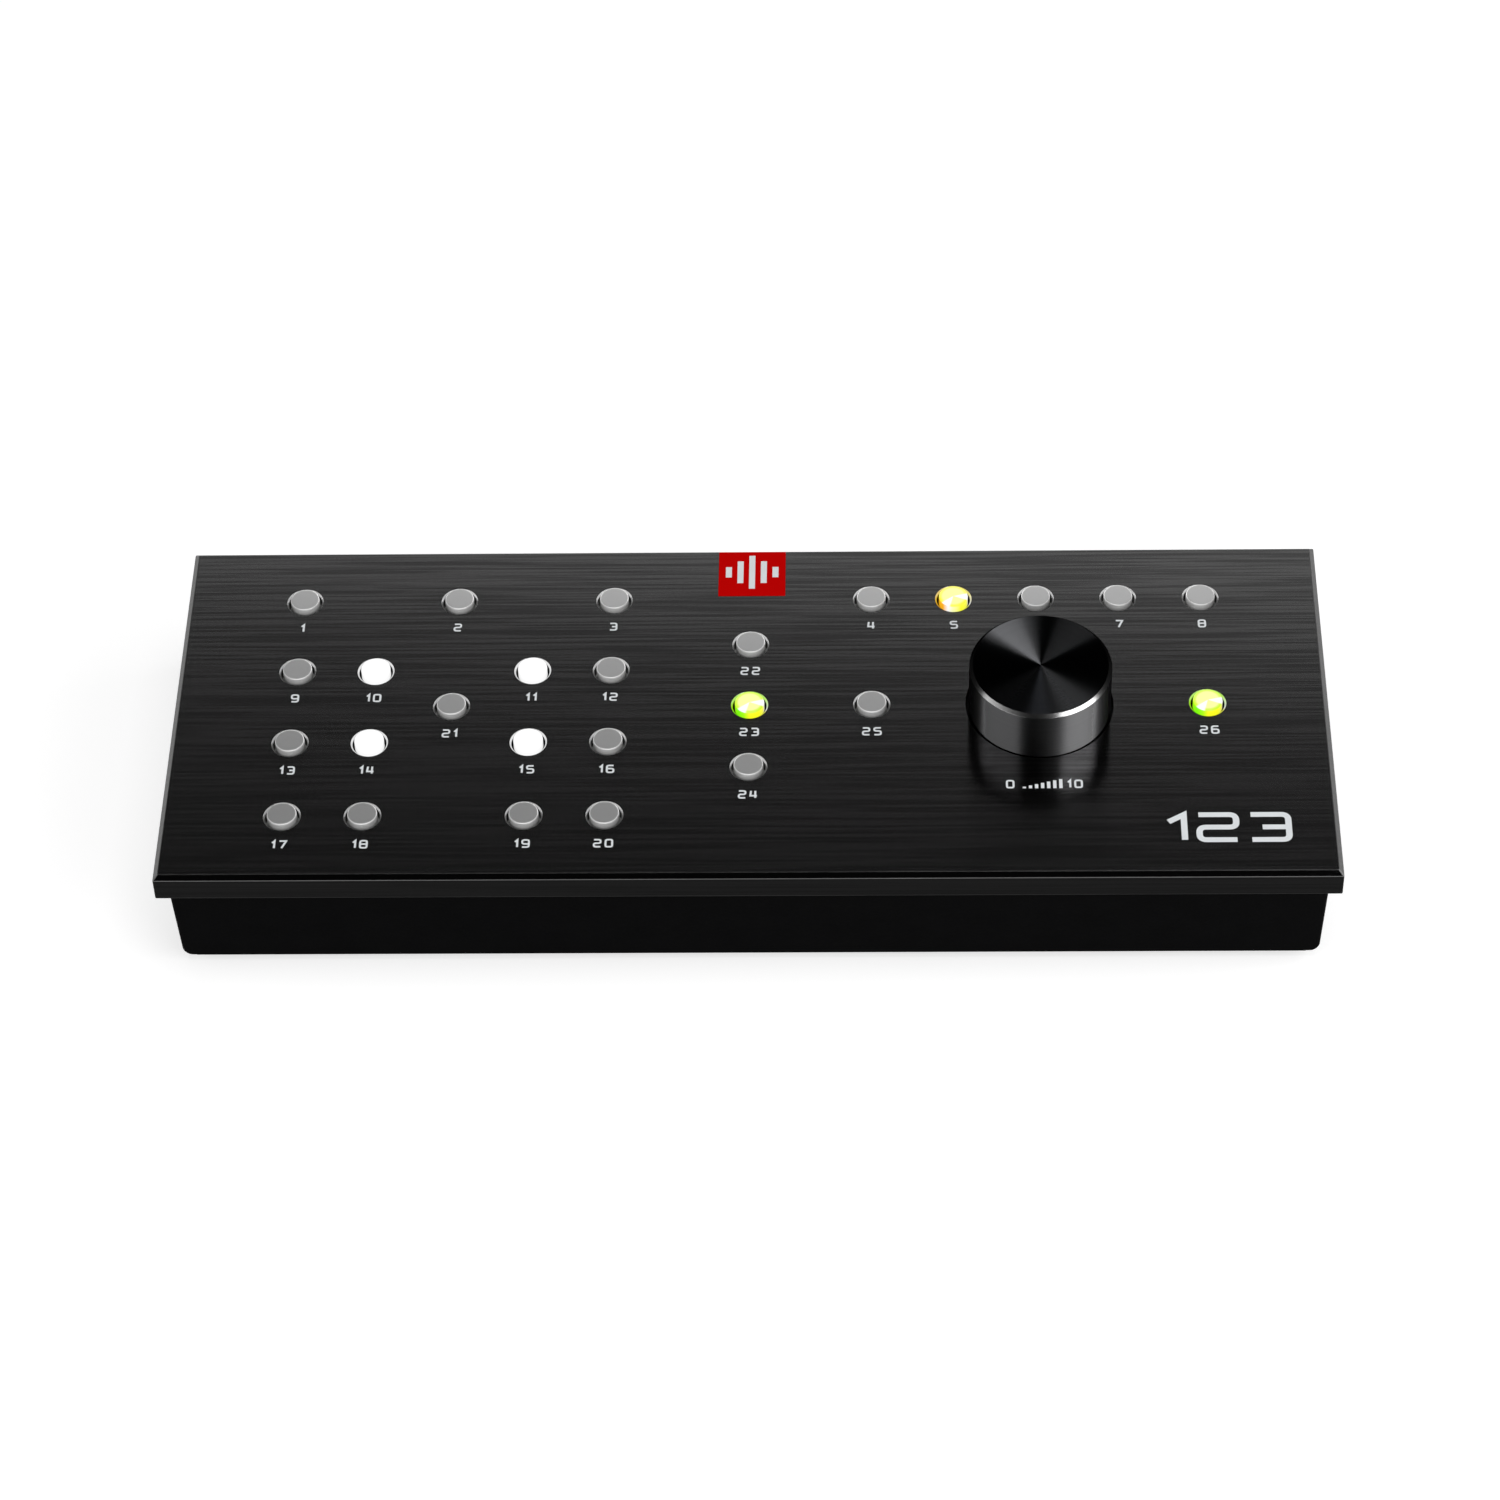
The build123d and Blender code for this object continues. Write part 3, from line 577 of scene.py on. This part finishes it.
# ---------------------------------------------------------------- cover
def middle(node):
    low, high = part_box(node)
    return (low + high) / 2


button_names = sorted(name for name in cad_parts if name.startswith("button_"))
button_names.remove("button_leds")
button_places = {name: middle(name) for name in button_names}
knob_place = middle("volume_knob")

# Numbers of the cover's finishes. The recess and the underside are finished like the sides, which are written
# near black as painted shade.
TOP_FINISH, SIDE_FINISH, BEVEL_FINISH, HOLE_FINISH, CHAMFER_FINISH, BREAK_FINISH = range(6)
LEVEL_RISE = 0.999  # the upward part of a level face's normal is over this
BEVEL_RISE = 0.3  # and that of a hole's bevelled rim over this
SIDE_RISE = 0.03  # and that of an upright face under this
CHAMFER_SLACK = 0.01  # between the rise of a chamfer's normal and that of one at 45 degrees


def cover_blank():
    """The cover without its holes: a shallow box, hollow below, with chamfered, slightly broken edges."""
    face_under = panel - FACE_THICKNESS
    outside = [
        (COVER_CHAMFER + 2 * TOP_BREAK, panel, 0),
        (COVER_CHAMFER, panel, TOP_BREAK),
        (0, panel - COVER_CHAMFER, EDGE_BREAK),
        (0, seam, COVER_EDGE_ROUND),
        (RIM_WALL, seam, EDGE_BREAK),
        (RIM_WALL, face_under, 0),
    ]
    loops = []
    for inset, z in soften(outside, hold=HOLD):
        radius = COVER_CORNER_RADIUS if inset < RIM_WALL / 2 else COVER_CORNER_RADIUS / 2
        loops.append(rounded_rectangle(half_width - inset, half_depth - inset, radius, z))
    bm = bmesh.new()
    skin(bm, loops)
    return finished_mesh(bm, "cover_blank")


def cover_cutter():
    """Everything that is cut from the cover: the button holes, the knob's recess and the badge's seat."""
    under, over = panel - FACE_THICKNESS - CUT_MARGIN, panel + CUT_MARGIN
    bm = bmesh.new()
    hole = soften([
        (0, under, 0),
        (HOLE_RADIUS, under, 0),
        (HOLE_RADIUS, panel - HOLE_BEVEL, EDGE_BREAK / 2),
        (HOLE_RADIUS + HOLE_BEVEL + CUT_MARGIN, over, 0),
        (0, over, 0),
    ])
    for place in button_places.values():
        turned(bm, hole, place=place.xy)
    recess = [
        (0, under),
        (BUSHING_HOLE_RADIUS, under),
        (BUSHING_HOLE_RADIUS, panel - RECESS_DEPTH),
        (RECESS_RADIUS, panel - RECESS_DEPTH),
        (RECESS_RADIUS, over),
        (0, over),
    ]
    turned(bm, recess, 2 * CIRCLE_STEPS, place=knob_place.xy)
    corner = Vector((badge_low.x - BADGE_CLEARANCE, badge_low.y - BADGE_CLEARANCE, badge_low.z))
    width = badge_high.x - badge_low.x + 2 * BADGE_CLEARANCE
    depth = badge_high.y - badge_low.y + BADGE_SEAT_REACH
    size = Vector((width, depth, BADGE_SEAT_HEIGHT))
    seat = bmesh.ops.create_cube(bm, size=1)
    bmesh.ops.scale(bm, vec=size, verts=seat["verts"])
    bmesh.ops.translate(bm, vec=corner + size / 2, verts=seat["verts"])
    return finished_mesh(bm, "cover_cutter")


def cover_finish(face):
    """The number of the finish that a face of the cover has."""
    centre, rise = face.center, face.normal.z
    if rise > LEVEL_RISE and centre.z > panel - EDGE_BREAK / 2:
        return TOP_FINISH
    for place in button_places.values():
        if math.hypot(centre.x - place.x, centre.y - place.y) < HOLE_RADIUS + HOLE_BEVEL:
            on_bevel = rise > BEVEL_RISE and centre.z > panel - HOLE_BEVEL - EDGE_BREAK
            return BEVEL_FINISH if on_bevel else HOLE_FINISH
    inner = COVER_CHAMFER + 2 * TOP_BREAK
    at_edge = abs(centre.x) > half_width - inner or abs(centre.y) > half_depth - inner
    if rise < SIDE_RISE or not at_edge:
        return SIDE_FINISH
    return CHAMFER_FINISH if abs(rise - math.sqrt(0.5)) < CHAMFER_SLACK else BREAK_FINISH


def add_cover():
    """The cover as one piece, with a finish for each kind of face."""
    mesh = subtract(cover_blank(), cover_cutter())
    mesh.name = "cover_shell"
    finishes = [cover_finish(face) for face in mesh.polygons]
    materials = [panel_top, shaded_panel_sides, hole_rim, hole_wall, panel_chamfer, panel_edge]
    piece = add_piece("cover_shell", mesh, "housing", materials, replaces=["top_cover"])
    mesh.polygons.foreach_set("material_index", finishes)
    return piece


# ---------------------------------------------------------------- knob
KNOB_SIDE, KNOB_EDGE, KNOB_TOP = range(3)  # numbers of its finishes


def knob_finishes(points, top, radius):
    """The finish numbers of the strips between the points of the knob's profile."""
    face_radius = radius - KNOB_CHAMFER - EDGE_BREAK
    finishes = []
    for near, far in zip(points, points[1:]):
        if (near.y + far.y) / 2 > top - KNOB_CHAMFER and (near.x + far.x) / 2 > face_radius:
            finishes.append(KNOB_EDGE)
        else:
            finishes.append(KNOB_TOP if far.x == 0 else KNOB_SIDE)
    return finishes


def set_screw_cutter(length):
    """A round bar that lies along Y, from inside the knob's bore to the back."""
    bm = bmesh.new()
    turned(bm, [(0, 0), (SET_SCREW_RADIUS, 0), (SET_SCREW_RADIUS, length), (0, length)], SET_SCREW_STEPS)
    bmesh.ops.rotate(bm, verts=bm.verts, cent=(0, 0, 0), matrix=Matrix.Rotation(math.radians(-90), 3, "X"))
    bmesh.ops.translate(bm, verts=bm.verts, vec=(0, KNOB_BORE_RADIUS / 2, SET_SCREW_HEIGHT))
    return finished_mesh(bm, "set_screw_hole")


def add_knob():
    """The knob: turned side, polished chamfer, and a turned top that sinks very slightly to its centre."""
    top = knob_high.z - knob_low.z
    radius = (knob_high.x - knob_low.x) / 2
    bore_top = KNOB_CEILING + KNOB_BORE_DEPTH
    profile = [
        (0, bore_top, 0),
        (KNOB_BORE_RADIUS, bore_top, 0),
        (KNOB_BORE_RADIUS, KNOB_CEILING, 0),
        (KNOB_SKIRT_RADIUS, KNOB_CEILING, 0),
        (KNOB_SKIRT_RADIUS, 0, EDGE_BREAK),
        (radius, 0, 2 * EDGE_BREAK),
        (radius, top - KNOB_CHAMFER, EDGE_BREAK / 2),
        (radius - KNOB_CHAMFER, top, EDGE_BREAK / 2),
        (0, top - KNOB_DISH, 0),
    ]
    points = soften(profile, hold=HOLD)
    bm = bmesh.new()
    turned(bm, points, KNOB_STEPS, knob_finishes(points, top, radius))
    mesh = subtract(finished_mesh(bm, "knob_shell"), set_screw_cutter(2 * radius))
    finishes = [face.material_index for face in mesh.polygons]
    place = (knob_place.x, knob_place.y, knob_low.z)
    materials = [knob_side, knob_edge, knob_top]
    piece = add_piece("knob_shell", mesh, "knob", materials, place, ["volume_knob"])
    mesh.polygons.foreach_set("material_index", finishes)
    return piece


# ---------------------------------------------------------------- buttons
def cap_profile():
    """A cap's outline, from the middle of its inside to the middle of its top. Heights count from the top."""
    profile = [
        (0, -CAP_WALL_TOP, 0),
        (PLUNGER_RADIUS, -CAP_WALL_TOP, 0),
        (PLUNGER_RADIUS, CAP_UNDER, 0),
        (CAP_FLANGE_RADIUS, CAP_UNDER, EDGE_BREAK),
        (CAP_FLANGE_RADIUS, CAP_UNDER + CAP_FLANGE_HEIGHT, EDGE_BREAK),
        (CAP_RADIUS, CAP_UNDER + CAP_FLANGE_HEIGHT, 0),
    ]
    points = soften(profile)
    points.append(Vector((CAP_RADIUS, -CAP_EDGE_RADIUS - CAP_SIDE_HOLD)))
    centre = Vector((CAP_RADIUS - CAP_EDGE_RADIUS, -CAP_EDGE_RADIUS))
    for k in range(CAP_RIM_STEPS + 1):
        angle = math.pi / 2 * k / CAP_RIM_STEPS
        points.append(centre + Vector((math.cos(angle), math.sin(angle))) * CAP_EDGE_RADIUS)
    points.append(Vector((CAP_RADIUS - CAP_EDGE_RADIUS - CAP_RIM_HOLD, 0)))
    points.append(Vector((0, 0)))
    return points


def add_plunger(bm, foot):
    """The hollow plunger inside a cap, from its foot up. Heights count from the cap's top."""
    top = -CAP_WALL_TOP - CAP_GAP
    outline = [(PLUNGER_BORE, foot), (PLUNGER_RADIUS, foot), (PLUNGER_RADIUS, top), (PLUNGER_BORE, top)]
    rings = [[bm.verts.new(point) for point in circle(radius, z, CIRCLE_STEPS // 2)] for radius, z in outline]
    for near, far in zip(rings, rings[1:] + rings[:1]):
        for k in range(len(near)):
            bm.faces.new([near[k], near[(k + 1) % len(near)], far[(k + 1) % len(far)], far[k]])


def add_button(name):
    """A cap with a rounded rim and a flange, and the hollow plunger under it, in one piece."""
    low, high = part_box(name)
    kind = slot_of[name]
    bm = bmesh.new()
    turned(bm, cap_profile())
    add_plunger(bm, low.z - high.z)
    mesh = finished_mesh(bm, name)
    place = ((low.x + high.x) / 2, (low.y + high.y) / 2, high.z)
    return add_piece(f"cap_{name[-2:]}", mesh, name, [CAP_MATERIALS[kind]], place, [name])


# ---------------------------------------------------------------- printed numbers
# Strokes of each digit on a unit square, from its lower left corner
STROKES = {
    "0": [[(0.5, 0), (1, 0), (1, 1), (0, 1), (0, 0), (0.5, 0)]],
    "1": [[(0, 0.72), (1, 1), (1, 0)]],
    "2": [[(0, 1), (1, 1), (1, 0.5), (0, 0.5), (0, 0), (1, 0)]],
    "3": [[(0, 1), (1, 1), (1, 0), (0, 0)], [(0.3, 0.5), (1, 0.5)]],
    "4": [[(0.1, 1), (0, 0.3), (1, 0.3)], [(0.75, 1), (0.75, 0)]],
    "5": [[(1, 1), (0, 1), (0, 0.55), (1, 0.55), (1, 0), (0, 0)]],
    "6": [[(1, 1), (0, 1), (0, 0), (1, 0), (1, 0.55), (0, 0.55)]],
    "7": [[(0, 1), (1, 1), (0.4, 0)]],
    "8": [[(0.5, 0), (1, 0), (1, 1), (0, 1), (0, 0), (0.5, 0)], [(0, 0.52), (1, 0.52)]],
    "9": [[(0, 0), (1, 0), (1, 1), (0, 1), (0, 0.45), (1, 0.45)]],
}
NARROW_DIGITS = {"1": 0.5}  # part of the full width
SMALL_TYPE = {"width": 2.05 * MM, "height": 2.7 * MM, "stroke": 0.48 * MM, "gap": 0.7 * MM}
LARGE_TYPE = {"width": 10.3 * MM, "height": 9.4 * MM, "stroke": 1.5 * MM, "gap": 2.0 * MM}
CORNER_REACH = 1.1  # of the rounded corners, in stroke widths
CORNER_STEPS = 6
RIGHT_ANGLE_SLACK = 0.1 * MM**2  # the product of two sides may be so far below nought at a right angle
SHORTEST_STEP = 0.01 * MM  # points of a stroke that are nearer to the last one are left out
LEVEL_ANGLE = 0.001  # in radians; faces that differ by less are joined


def ribbon(points, width):
    """Quads of a stroke of even width along a line of points."""
    sides = []
    for i, point in enumerate(points):
        before = (point - points[i - 1] if i else points[1] - point).normalized()
        after = (points[i + 1] - point).normalized() if i + 1 < len(points) else before
        along = (before + after).normalized()
        across = Vector((-along.y, along.x)) * (width / 2 / along.dot(before))
        sides.append((point - across, point + across))
    return [[a[0], b[0], b[1], a[1]] for a, b in zip(sides, sides[1:])]


def stroke_line(corners, reach):
    """The line of a stroke, with every corner rounded that isn't sharper than a right angle."""
    profile = []
    for i, corner in enumerate(corners):
        inner = 0 < i < len(corners) - 1
        blunt = inner and (corner - corners[i - 1]).dot(corners[i + 1] - corner) > -RIGHT_ANGLE_SLACK
        profile.append((corner.x, corner.y, reach if blunt else 0))
    line = soften(profile, CORNER_STEPS)
    return [point for i, point in enumerate(line) if not i or (point - line[i - 1]).length > SHORTEST_STEP]


def number_shapes(text, centre, face=SMALL_TYPE):
    """Quads of a number's strokes, centred on a point of the panel."""
    stroke, gap = face["stroke"], face["gap"]
    rise = face["height"] - stroke
    widths = [face["width"] * NARROW_DIGITS.get(digit, 1) for digit in text]
    left = centre[0] - (sum(widths) + gap * (len(text) - 1)) / 2
    low = centre[1] - rise / 2
    shapes = []
    for digit, width in zip(text, widths):
        for line in STROKES[digit]:
            corners = [Vector((left + stroke / 2 + u * (width - stroke), low + v * rise)) for u, v in line]
            shapes += ribbon(stroke_line(corners, CORNER_REACH * stroke), stroke)
        left += width + gap
    return shapes


def bar_shapes(centre_x, low, pitch, width, heights):
    """Upright bars side by side. Their feet are at low or, where that is None, they are centred on nought."""
    shapes = []
    for i, height in enumerate(heights):
        x = centre_x + pitch * (i - (len(heights) - 1) / 2)
        foot = -height / 2 if low is None else low
        shapes += ribbon([Vector((x, foot)), Vector((x, foot + height))], width)
    return shapes


def put_in_order(parts, place_of):
    """Sorts a mesh's points or faces by place, because extruding leaves them in another order on each run."""
    ranked = sorted(parts, key=lambda part: tuple(place_of(part)))
    rank = {part: number for number, part in enumerate(ranked)}
    parts.sort(key=rank.get)


def flat_solid(shapes, name, z, thickness):
    """A thin solid of the union of flat shapes, standing on height z."""
    points, faces = [], []
    for shape in shapes:
        faces.append(list(range(len(points), len(points) + len(shape))))
        points += shape
    found = delaunay_2d_cdt(points, [], faces, 0, WELD_DISTANCE)
    bm = bmesh.new()
    verts = [bm.verts.new((point.x, point.y, z)) for point in found[0]]
    for corners, origin in zip(found[2], found[5]):
        if origin:
            bm.faces.new([verts[i] for i in corners])
    loose = [vert for vert in bm.verts if not vert.link_faces]
    bmesh.ops.delete(bm, geom=loose, context="VERTS")
    bmesh.ops.dissolve_limit(bm, angle_limit=LEVEL_ANGLE, verts=bm.verts, edges=bm.edges)
    raised = bmesh.ops.extrude_face_region(bm, geom=bm.faces[:])["geom"]
    upper = [thing for thing in raised if isinstance(thing, bmesh.types.BMVert)]
    bmesh.ops.translate(bm, vec=(0, 0, thickness), verts=upper)
    put_in_order(bm.verts, lambda vert: vert.co)
    put_in_order(bm.faces, lambda face: face.calc_center_median())
    bmesh.ops.triangulate(bm, faces=bm.faces)
    return finished_mesh(bm, name)


VOLUME_CENTRE = (knob_place.x, -25.7 * MM)
VOLUME_END = 7.7 * MM  # from the centre of the volume scale to its numbers
VOLUME_BARS = [height * MM for height in (0.5, 0.9, 1.3, 1.7, 2.1, 2.5, 2.9)]
VOLUME_PITCH = 1.45 * MM
VOLUME_BAR_WIDTH = 0.8 * MM
LARGE_NUMBER_CENTRE = (113.7 * MM, -39.7 * MM)
BADGE_BARS = [height * MM for height in (3.6, 7.6, 11.5, 7.6, 3.6)]
BADGE_PITCH = 2.9 * MM
BADGE_BAR_WIDTH = 1.5 * MM


def add_legends():
    """A plain number under each button, a rising scale under the knob and a plain number in the corner."""
    shapes = []
    for name, place in button_places.items():
        shapes += number_shapes(str(int(name[-2:])), (place.x, place.y - LABEL_DROP))
    x, y = VOLUME_CENTRE
    shapes += number_shapes("0", (x - VOLUME_END, y)) + number_shapes("10", (x + VOLUME_END, y))
    shapes += bar_shapes(x, y - SMALL_TYPE["height"] / 2, VOLUME_PITCH, VOLUME_BAR_WIDTH, VOLUME_BARS)
    shapes += number_shapes("123", LARGE_NUMBER_CENTRE, LARGE_TYPE)
    mesh = flat_solid(shapes, "printed_legends", panel, INK_THICKNESS)
    add_piece("printed_legends", mesh, "housing", [ink])


def add_badge_symbol():
    """A plain sign of five bars on the badge."""
    bars = bar_shapes(0, None, BADGE_PITCH, BADGE_BAR_WIDTH, BADGE_BARS)
    mesh = flat_solid(bars, "badge_symbol", 0, INK_THICKNESS)
    place = ((badge_low.x + badge_high.x) / 2, (badge_low.y + badge_high.y) / 2, badge_high.z)
    add_piece("badge_symbol", mesh, "housing", [ink], place)


# ---------------------------------------------------------------- stage and lights
FLOOR_RADIUS = 3.2
FLOOR_RINGS = (0.3, 1, 2)  # radii of the rings of the flat floor, within its edge
COVE_RADIUS = 0.6
COVE_HEIGHT = 0.75
COVE_STEPS = 12
FLOOR_COLOUR = (0.6, 0.6, 0.6, 1)
# Distances from the object's middle between which the floor's own light rises, and its strength there
BACKGROUND = {"From Min": 0.4, "From Max": 1.6, "To Min": 0.65, "To Max": 1.0}


def cove_mesh():
    """A flat floor that curves up into a low wall."""
    bm = bmesh.new()
    rings = [circle(radius, 0, CIRCLE_STEPS) for radius in (*FLOOR_RINGS, FLOOR_RADIUS - COVE_RADIUS)]
    for k in range(1, COVE_STEPS + 1):
        angle = math.pi / 2 * k / COVE_STEPS
        radius = FLOOR_RADIUS - COVE_RADIUS + COVE_RADIUS * math.sin(angle)
        rings.append(circle(radius, COVE_RADIUS * (1 - math.cos(angle)), CIRCLE_STEPS))
    rings.append(circle(FLOOR_RADIUS, COVE_HEIGHT, CIRCLE_STEPS))
    made = [[bm.verts.new(point) for point in ring] for ring in rings]
    bm.faces.new(made[0])
    for near, far in zip(made, made[1:]):
        for k in range(CIRCLE_STEPS):
            bm.faces.new([near[k], far[k], far[(k + 1) % CIRCLE_STEPS], near[(k + 1) % CIRCLE_STEPS]])
    mesh = bpy.data.meshes.new("floor")
    bm.to_mesh(mesh)
    bm.free()
    mesh.shade_smooth()
    return mesh


def floor_material():
    """Matte white with a light of its own, which only camera, glossy and transmission rays meet."""
    material = bpy.data.materials.new("white_floor")
    material.use_nodes = True
    tree = material.node_tree
    tree.nodes.remove(tree.nodes["Principled BSDF"])
    matte = add_node(tree, "ShaderNodeBsdfDiffuse", {"Color": FLOOR_COLOUR})
    path = add_node(tree, "ShaderNodeLightPath").outputs
    through = math_node(tree, "MAXIMUM", path["Is Glossy Ray"], path["Is Transmission Ray"])
    seen = math_node(tree, "MAXIMUM", path["Is Camera Ray"], through)
    away = add_node(tree, "ShaderNodeVectorMath", {0: object_point(tree)}, operation="LENGTH")
    level = add_node(tree, "ShaderNodeMapRange", {"Value": away.outputs["Value"], **BACKGROUND})
    strength = math_node(tree, "MULTIPLY", seen, level.outputs["Result"])
    glow = add_node(tree, "ShaderNodeEmission", {"Strength": strength})
    total = add_node(tree, "ShaderNodeAddShader", {0: matte.outputs[0], 1: glow.outputs[0]})
    tree.links.new(total.outputs[0], tree.nodes["Material Output"].inputs["Surface"])
    return material


def add_stage():
    """A round white cove, which lies behind the object in every view from above the floor."""
    mesh = cove_mesh()
    floor = bpy.data.objects.new("floor", mesh)
    bpy.context.scene.collection.objects.link(floor)
    mesh.materials.append(floor_material())
    light_only(floor, [knob], "EXCLUDE")


def add_softbox(name, azimuth, elevation, distance, width, height, radiance, target=(0, 0, 0)):
    """An area light aimed at a target. Azimuth 0 is the front, and a positive one lies to the right."""
    light = bpy.data.lights.new(name, "AREA")
    light.shape = "RECTANGLE"
    light.size = width
    light.size_y = height
    light.energy = radiance * math.pi * width * height
    turn, rise = math.radians(azimuth), math.radians(elevation)
    away = Vector((math.sin(turn) * math.cos(rise), -math.cos(turn) * math.cos(rise), math.sin(rise)))
    holder = bpy.data.objects.new(name, light)
    bpy.context.scene.collection.objects.link(holder)
    holder.location = Vector(target) + away * distance
    holder.rotation_mode = "QUATERNION"
    holder.rotation_quaternion = (-away).to_track_quat("-Z", "Y")
    holder.visible_camera = False
    return holder


def light_only(holder, pieces, state="INCLUDE"):
    """Links a light to some pieces, or keeps it off them."""
    linked = bpy.data.collections.new(f"{holder.name}_pieces")
    for piece in pieces:
        linked.objects.link(piece)
    for entry in linked.collection_objects:
        entry.light_linking.link_state = state
    holder.light_linking.receiver_collection = linked


# Name, azimuth, elevation, distance, width, height and radiance
SIDE_SOFTBOXES = (
    ("softbox_right", 68, 32, 1.0, 1.7, 0.7, 2.4),
    ("softbox_left", -70, 26, 1.0, 1.7, 0.55, 1.3),
)
SOFTBOX_ABOVE = ("softbox_above", 0, 90, 1.2, 1.0, 0.8, 2.4)
SOFTBOX_BACK = ("softbox_back", 180, 35, 1.0, 1.2, 0.6, 2.0)
CAP_FRONT = ("cap_front", 0, 40, 1.0, 2.0, 0.4, 2.4)
KNOB_SOFTBOXES = (
    ("knob_low_right", 61, 6, 0.6, 0.48, 0.11, 6.0),
    ("knob_high_right", 59, 31, 0.6, 0.52, 0.28, 36.0),
    ("knob_left", -59, 18, 0.6, 0.68, 0.28, 13.5),
    ("knob_top_right", 70, 62, 0.9, 1.0, 0.5, 6.0),
    ("knob_top_back", 177, 15, 0.9, 0.06, 0.3, 10.0),
)
BACK_PIECES = ("base_tray", "network_socket", "network_contacts", "usb_socket", "usb_tongue")
GLOW_AZIMUTH = 175
GLOW_DISTANCE = 0.2
GLOW_WIDTH = 0.5
GLOW_HEIGHT = 0.25
GLOW_LIFT = 2 * MM  # of its lower edge over the floor
GLOW_RADIANCE = 0.63
CAP_GLOW_RADIANCE = 1.8
WORLD_COLOUR = (0.015, 0.015, 0.015, 1)


def add_glow(name, radiance, pieces):
    """An upright light that stands on the floor behind the object and lights some pieces."""
    distance = half_depth + GLOW_DISTANCE
    glow = add_softbox(name, GLOW_AZIMUTH, 0, distance, GLOW_WIDTH, GLOW_HEIGHT, radiance)
    glow.location.z = GLOW_HEIGHT / 2 + GLOW_LIFT
    light_only(glow, pieces)


def light_knob():
    """Lights of the knob alone: they draw the bands on its side and the wedges on its turned top."""
    centre = (knob_place.x, knob_place.y, knob_high.z)
    for row in KNOB_SOFTBOXES:
        light_only(add_softbox(*row, centre), [knob])


def add_lights():
    """Softboxes at both sides, with a dark gap in front between them, and one above. The side ones are kept
    off the knob and the caps, the one above off the knob and the cover. Those have lights of their own."""
    for row in SIDE_SOFTBOXES:
        light_only(add_softbox(*row), [knob, *caps], "EXCLUDE")
    light_only(add_softbox(*SOFTBOX_ABOVE), [knob, cover], "EXCLUDE")
    light_only(add_softbox(*SOFTBOX_BACK), [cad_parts[name] for name in BACK_PIECES])
    add_glow("back_glow", GLOW_RADIANCE, [cover])
    add_glow("cap_glow", CAP_GLOW_RADIANCE, caps)
    light_only(add_softbox(*CAP_FRONT), caps)
    light_knob()
    world = bpy.data.worlds.new("studio")
    bpy.context.scene.world = world
    world.use_nodes = True
    world.node_tree.nodes["Background"].inputs["Color"].default_value = WORLD_COLOUR


cover = add_cover()
knob = add_knob()
caps = [add_button(name) for name in button_names]
add_legends()
add_badge_symbol()
add_stage()
add_lights()

bpy.context.scene.view_settings.view_transform = "Standard"
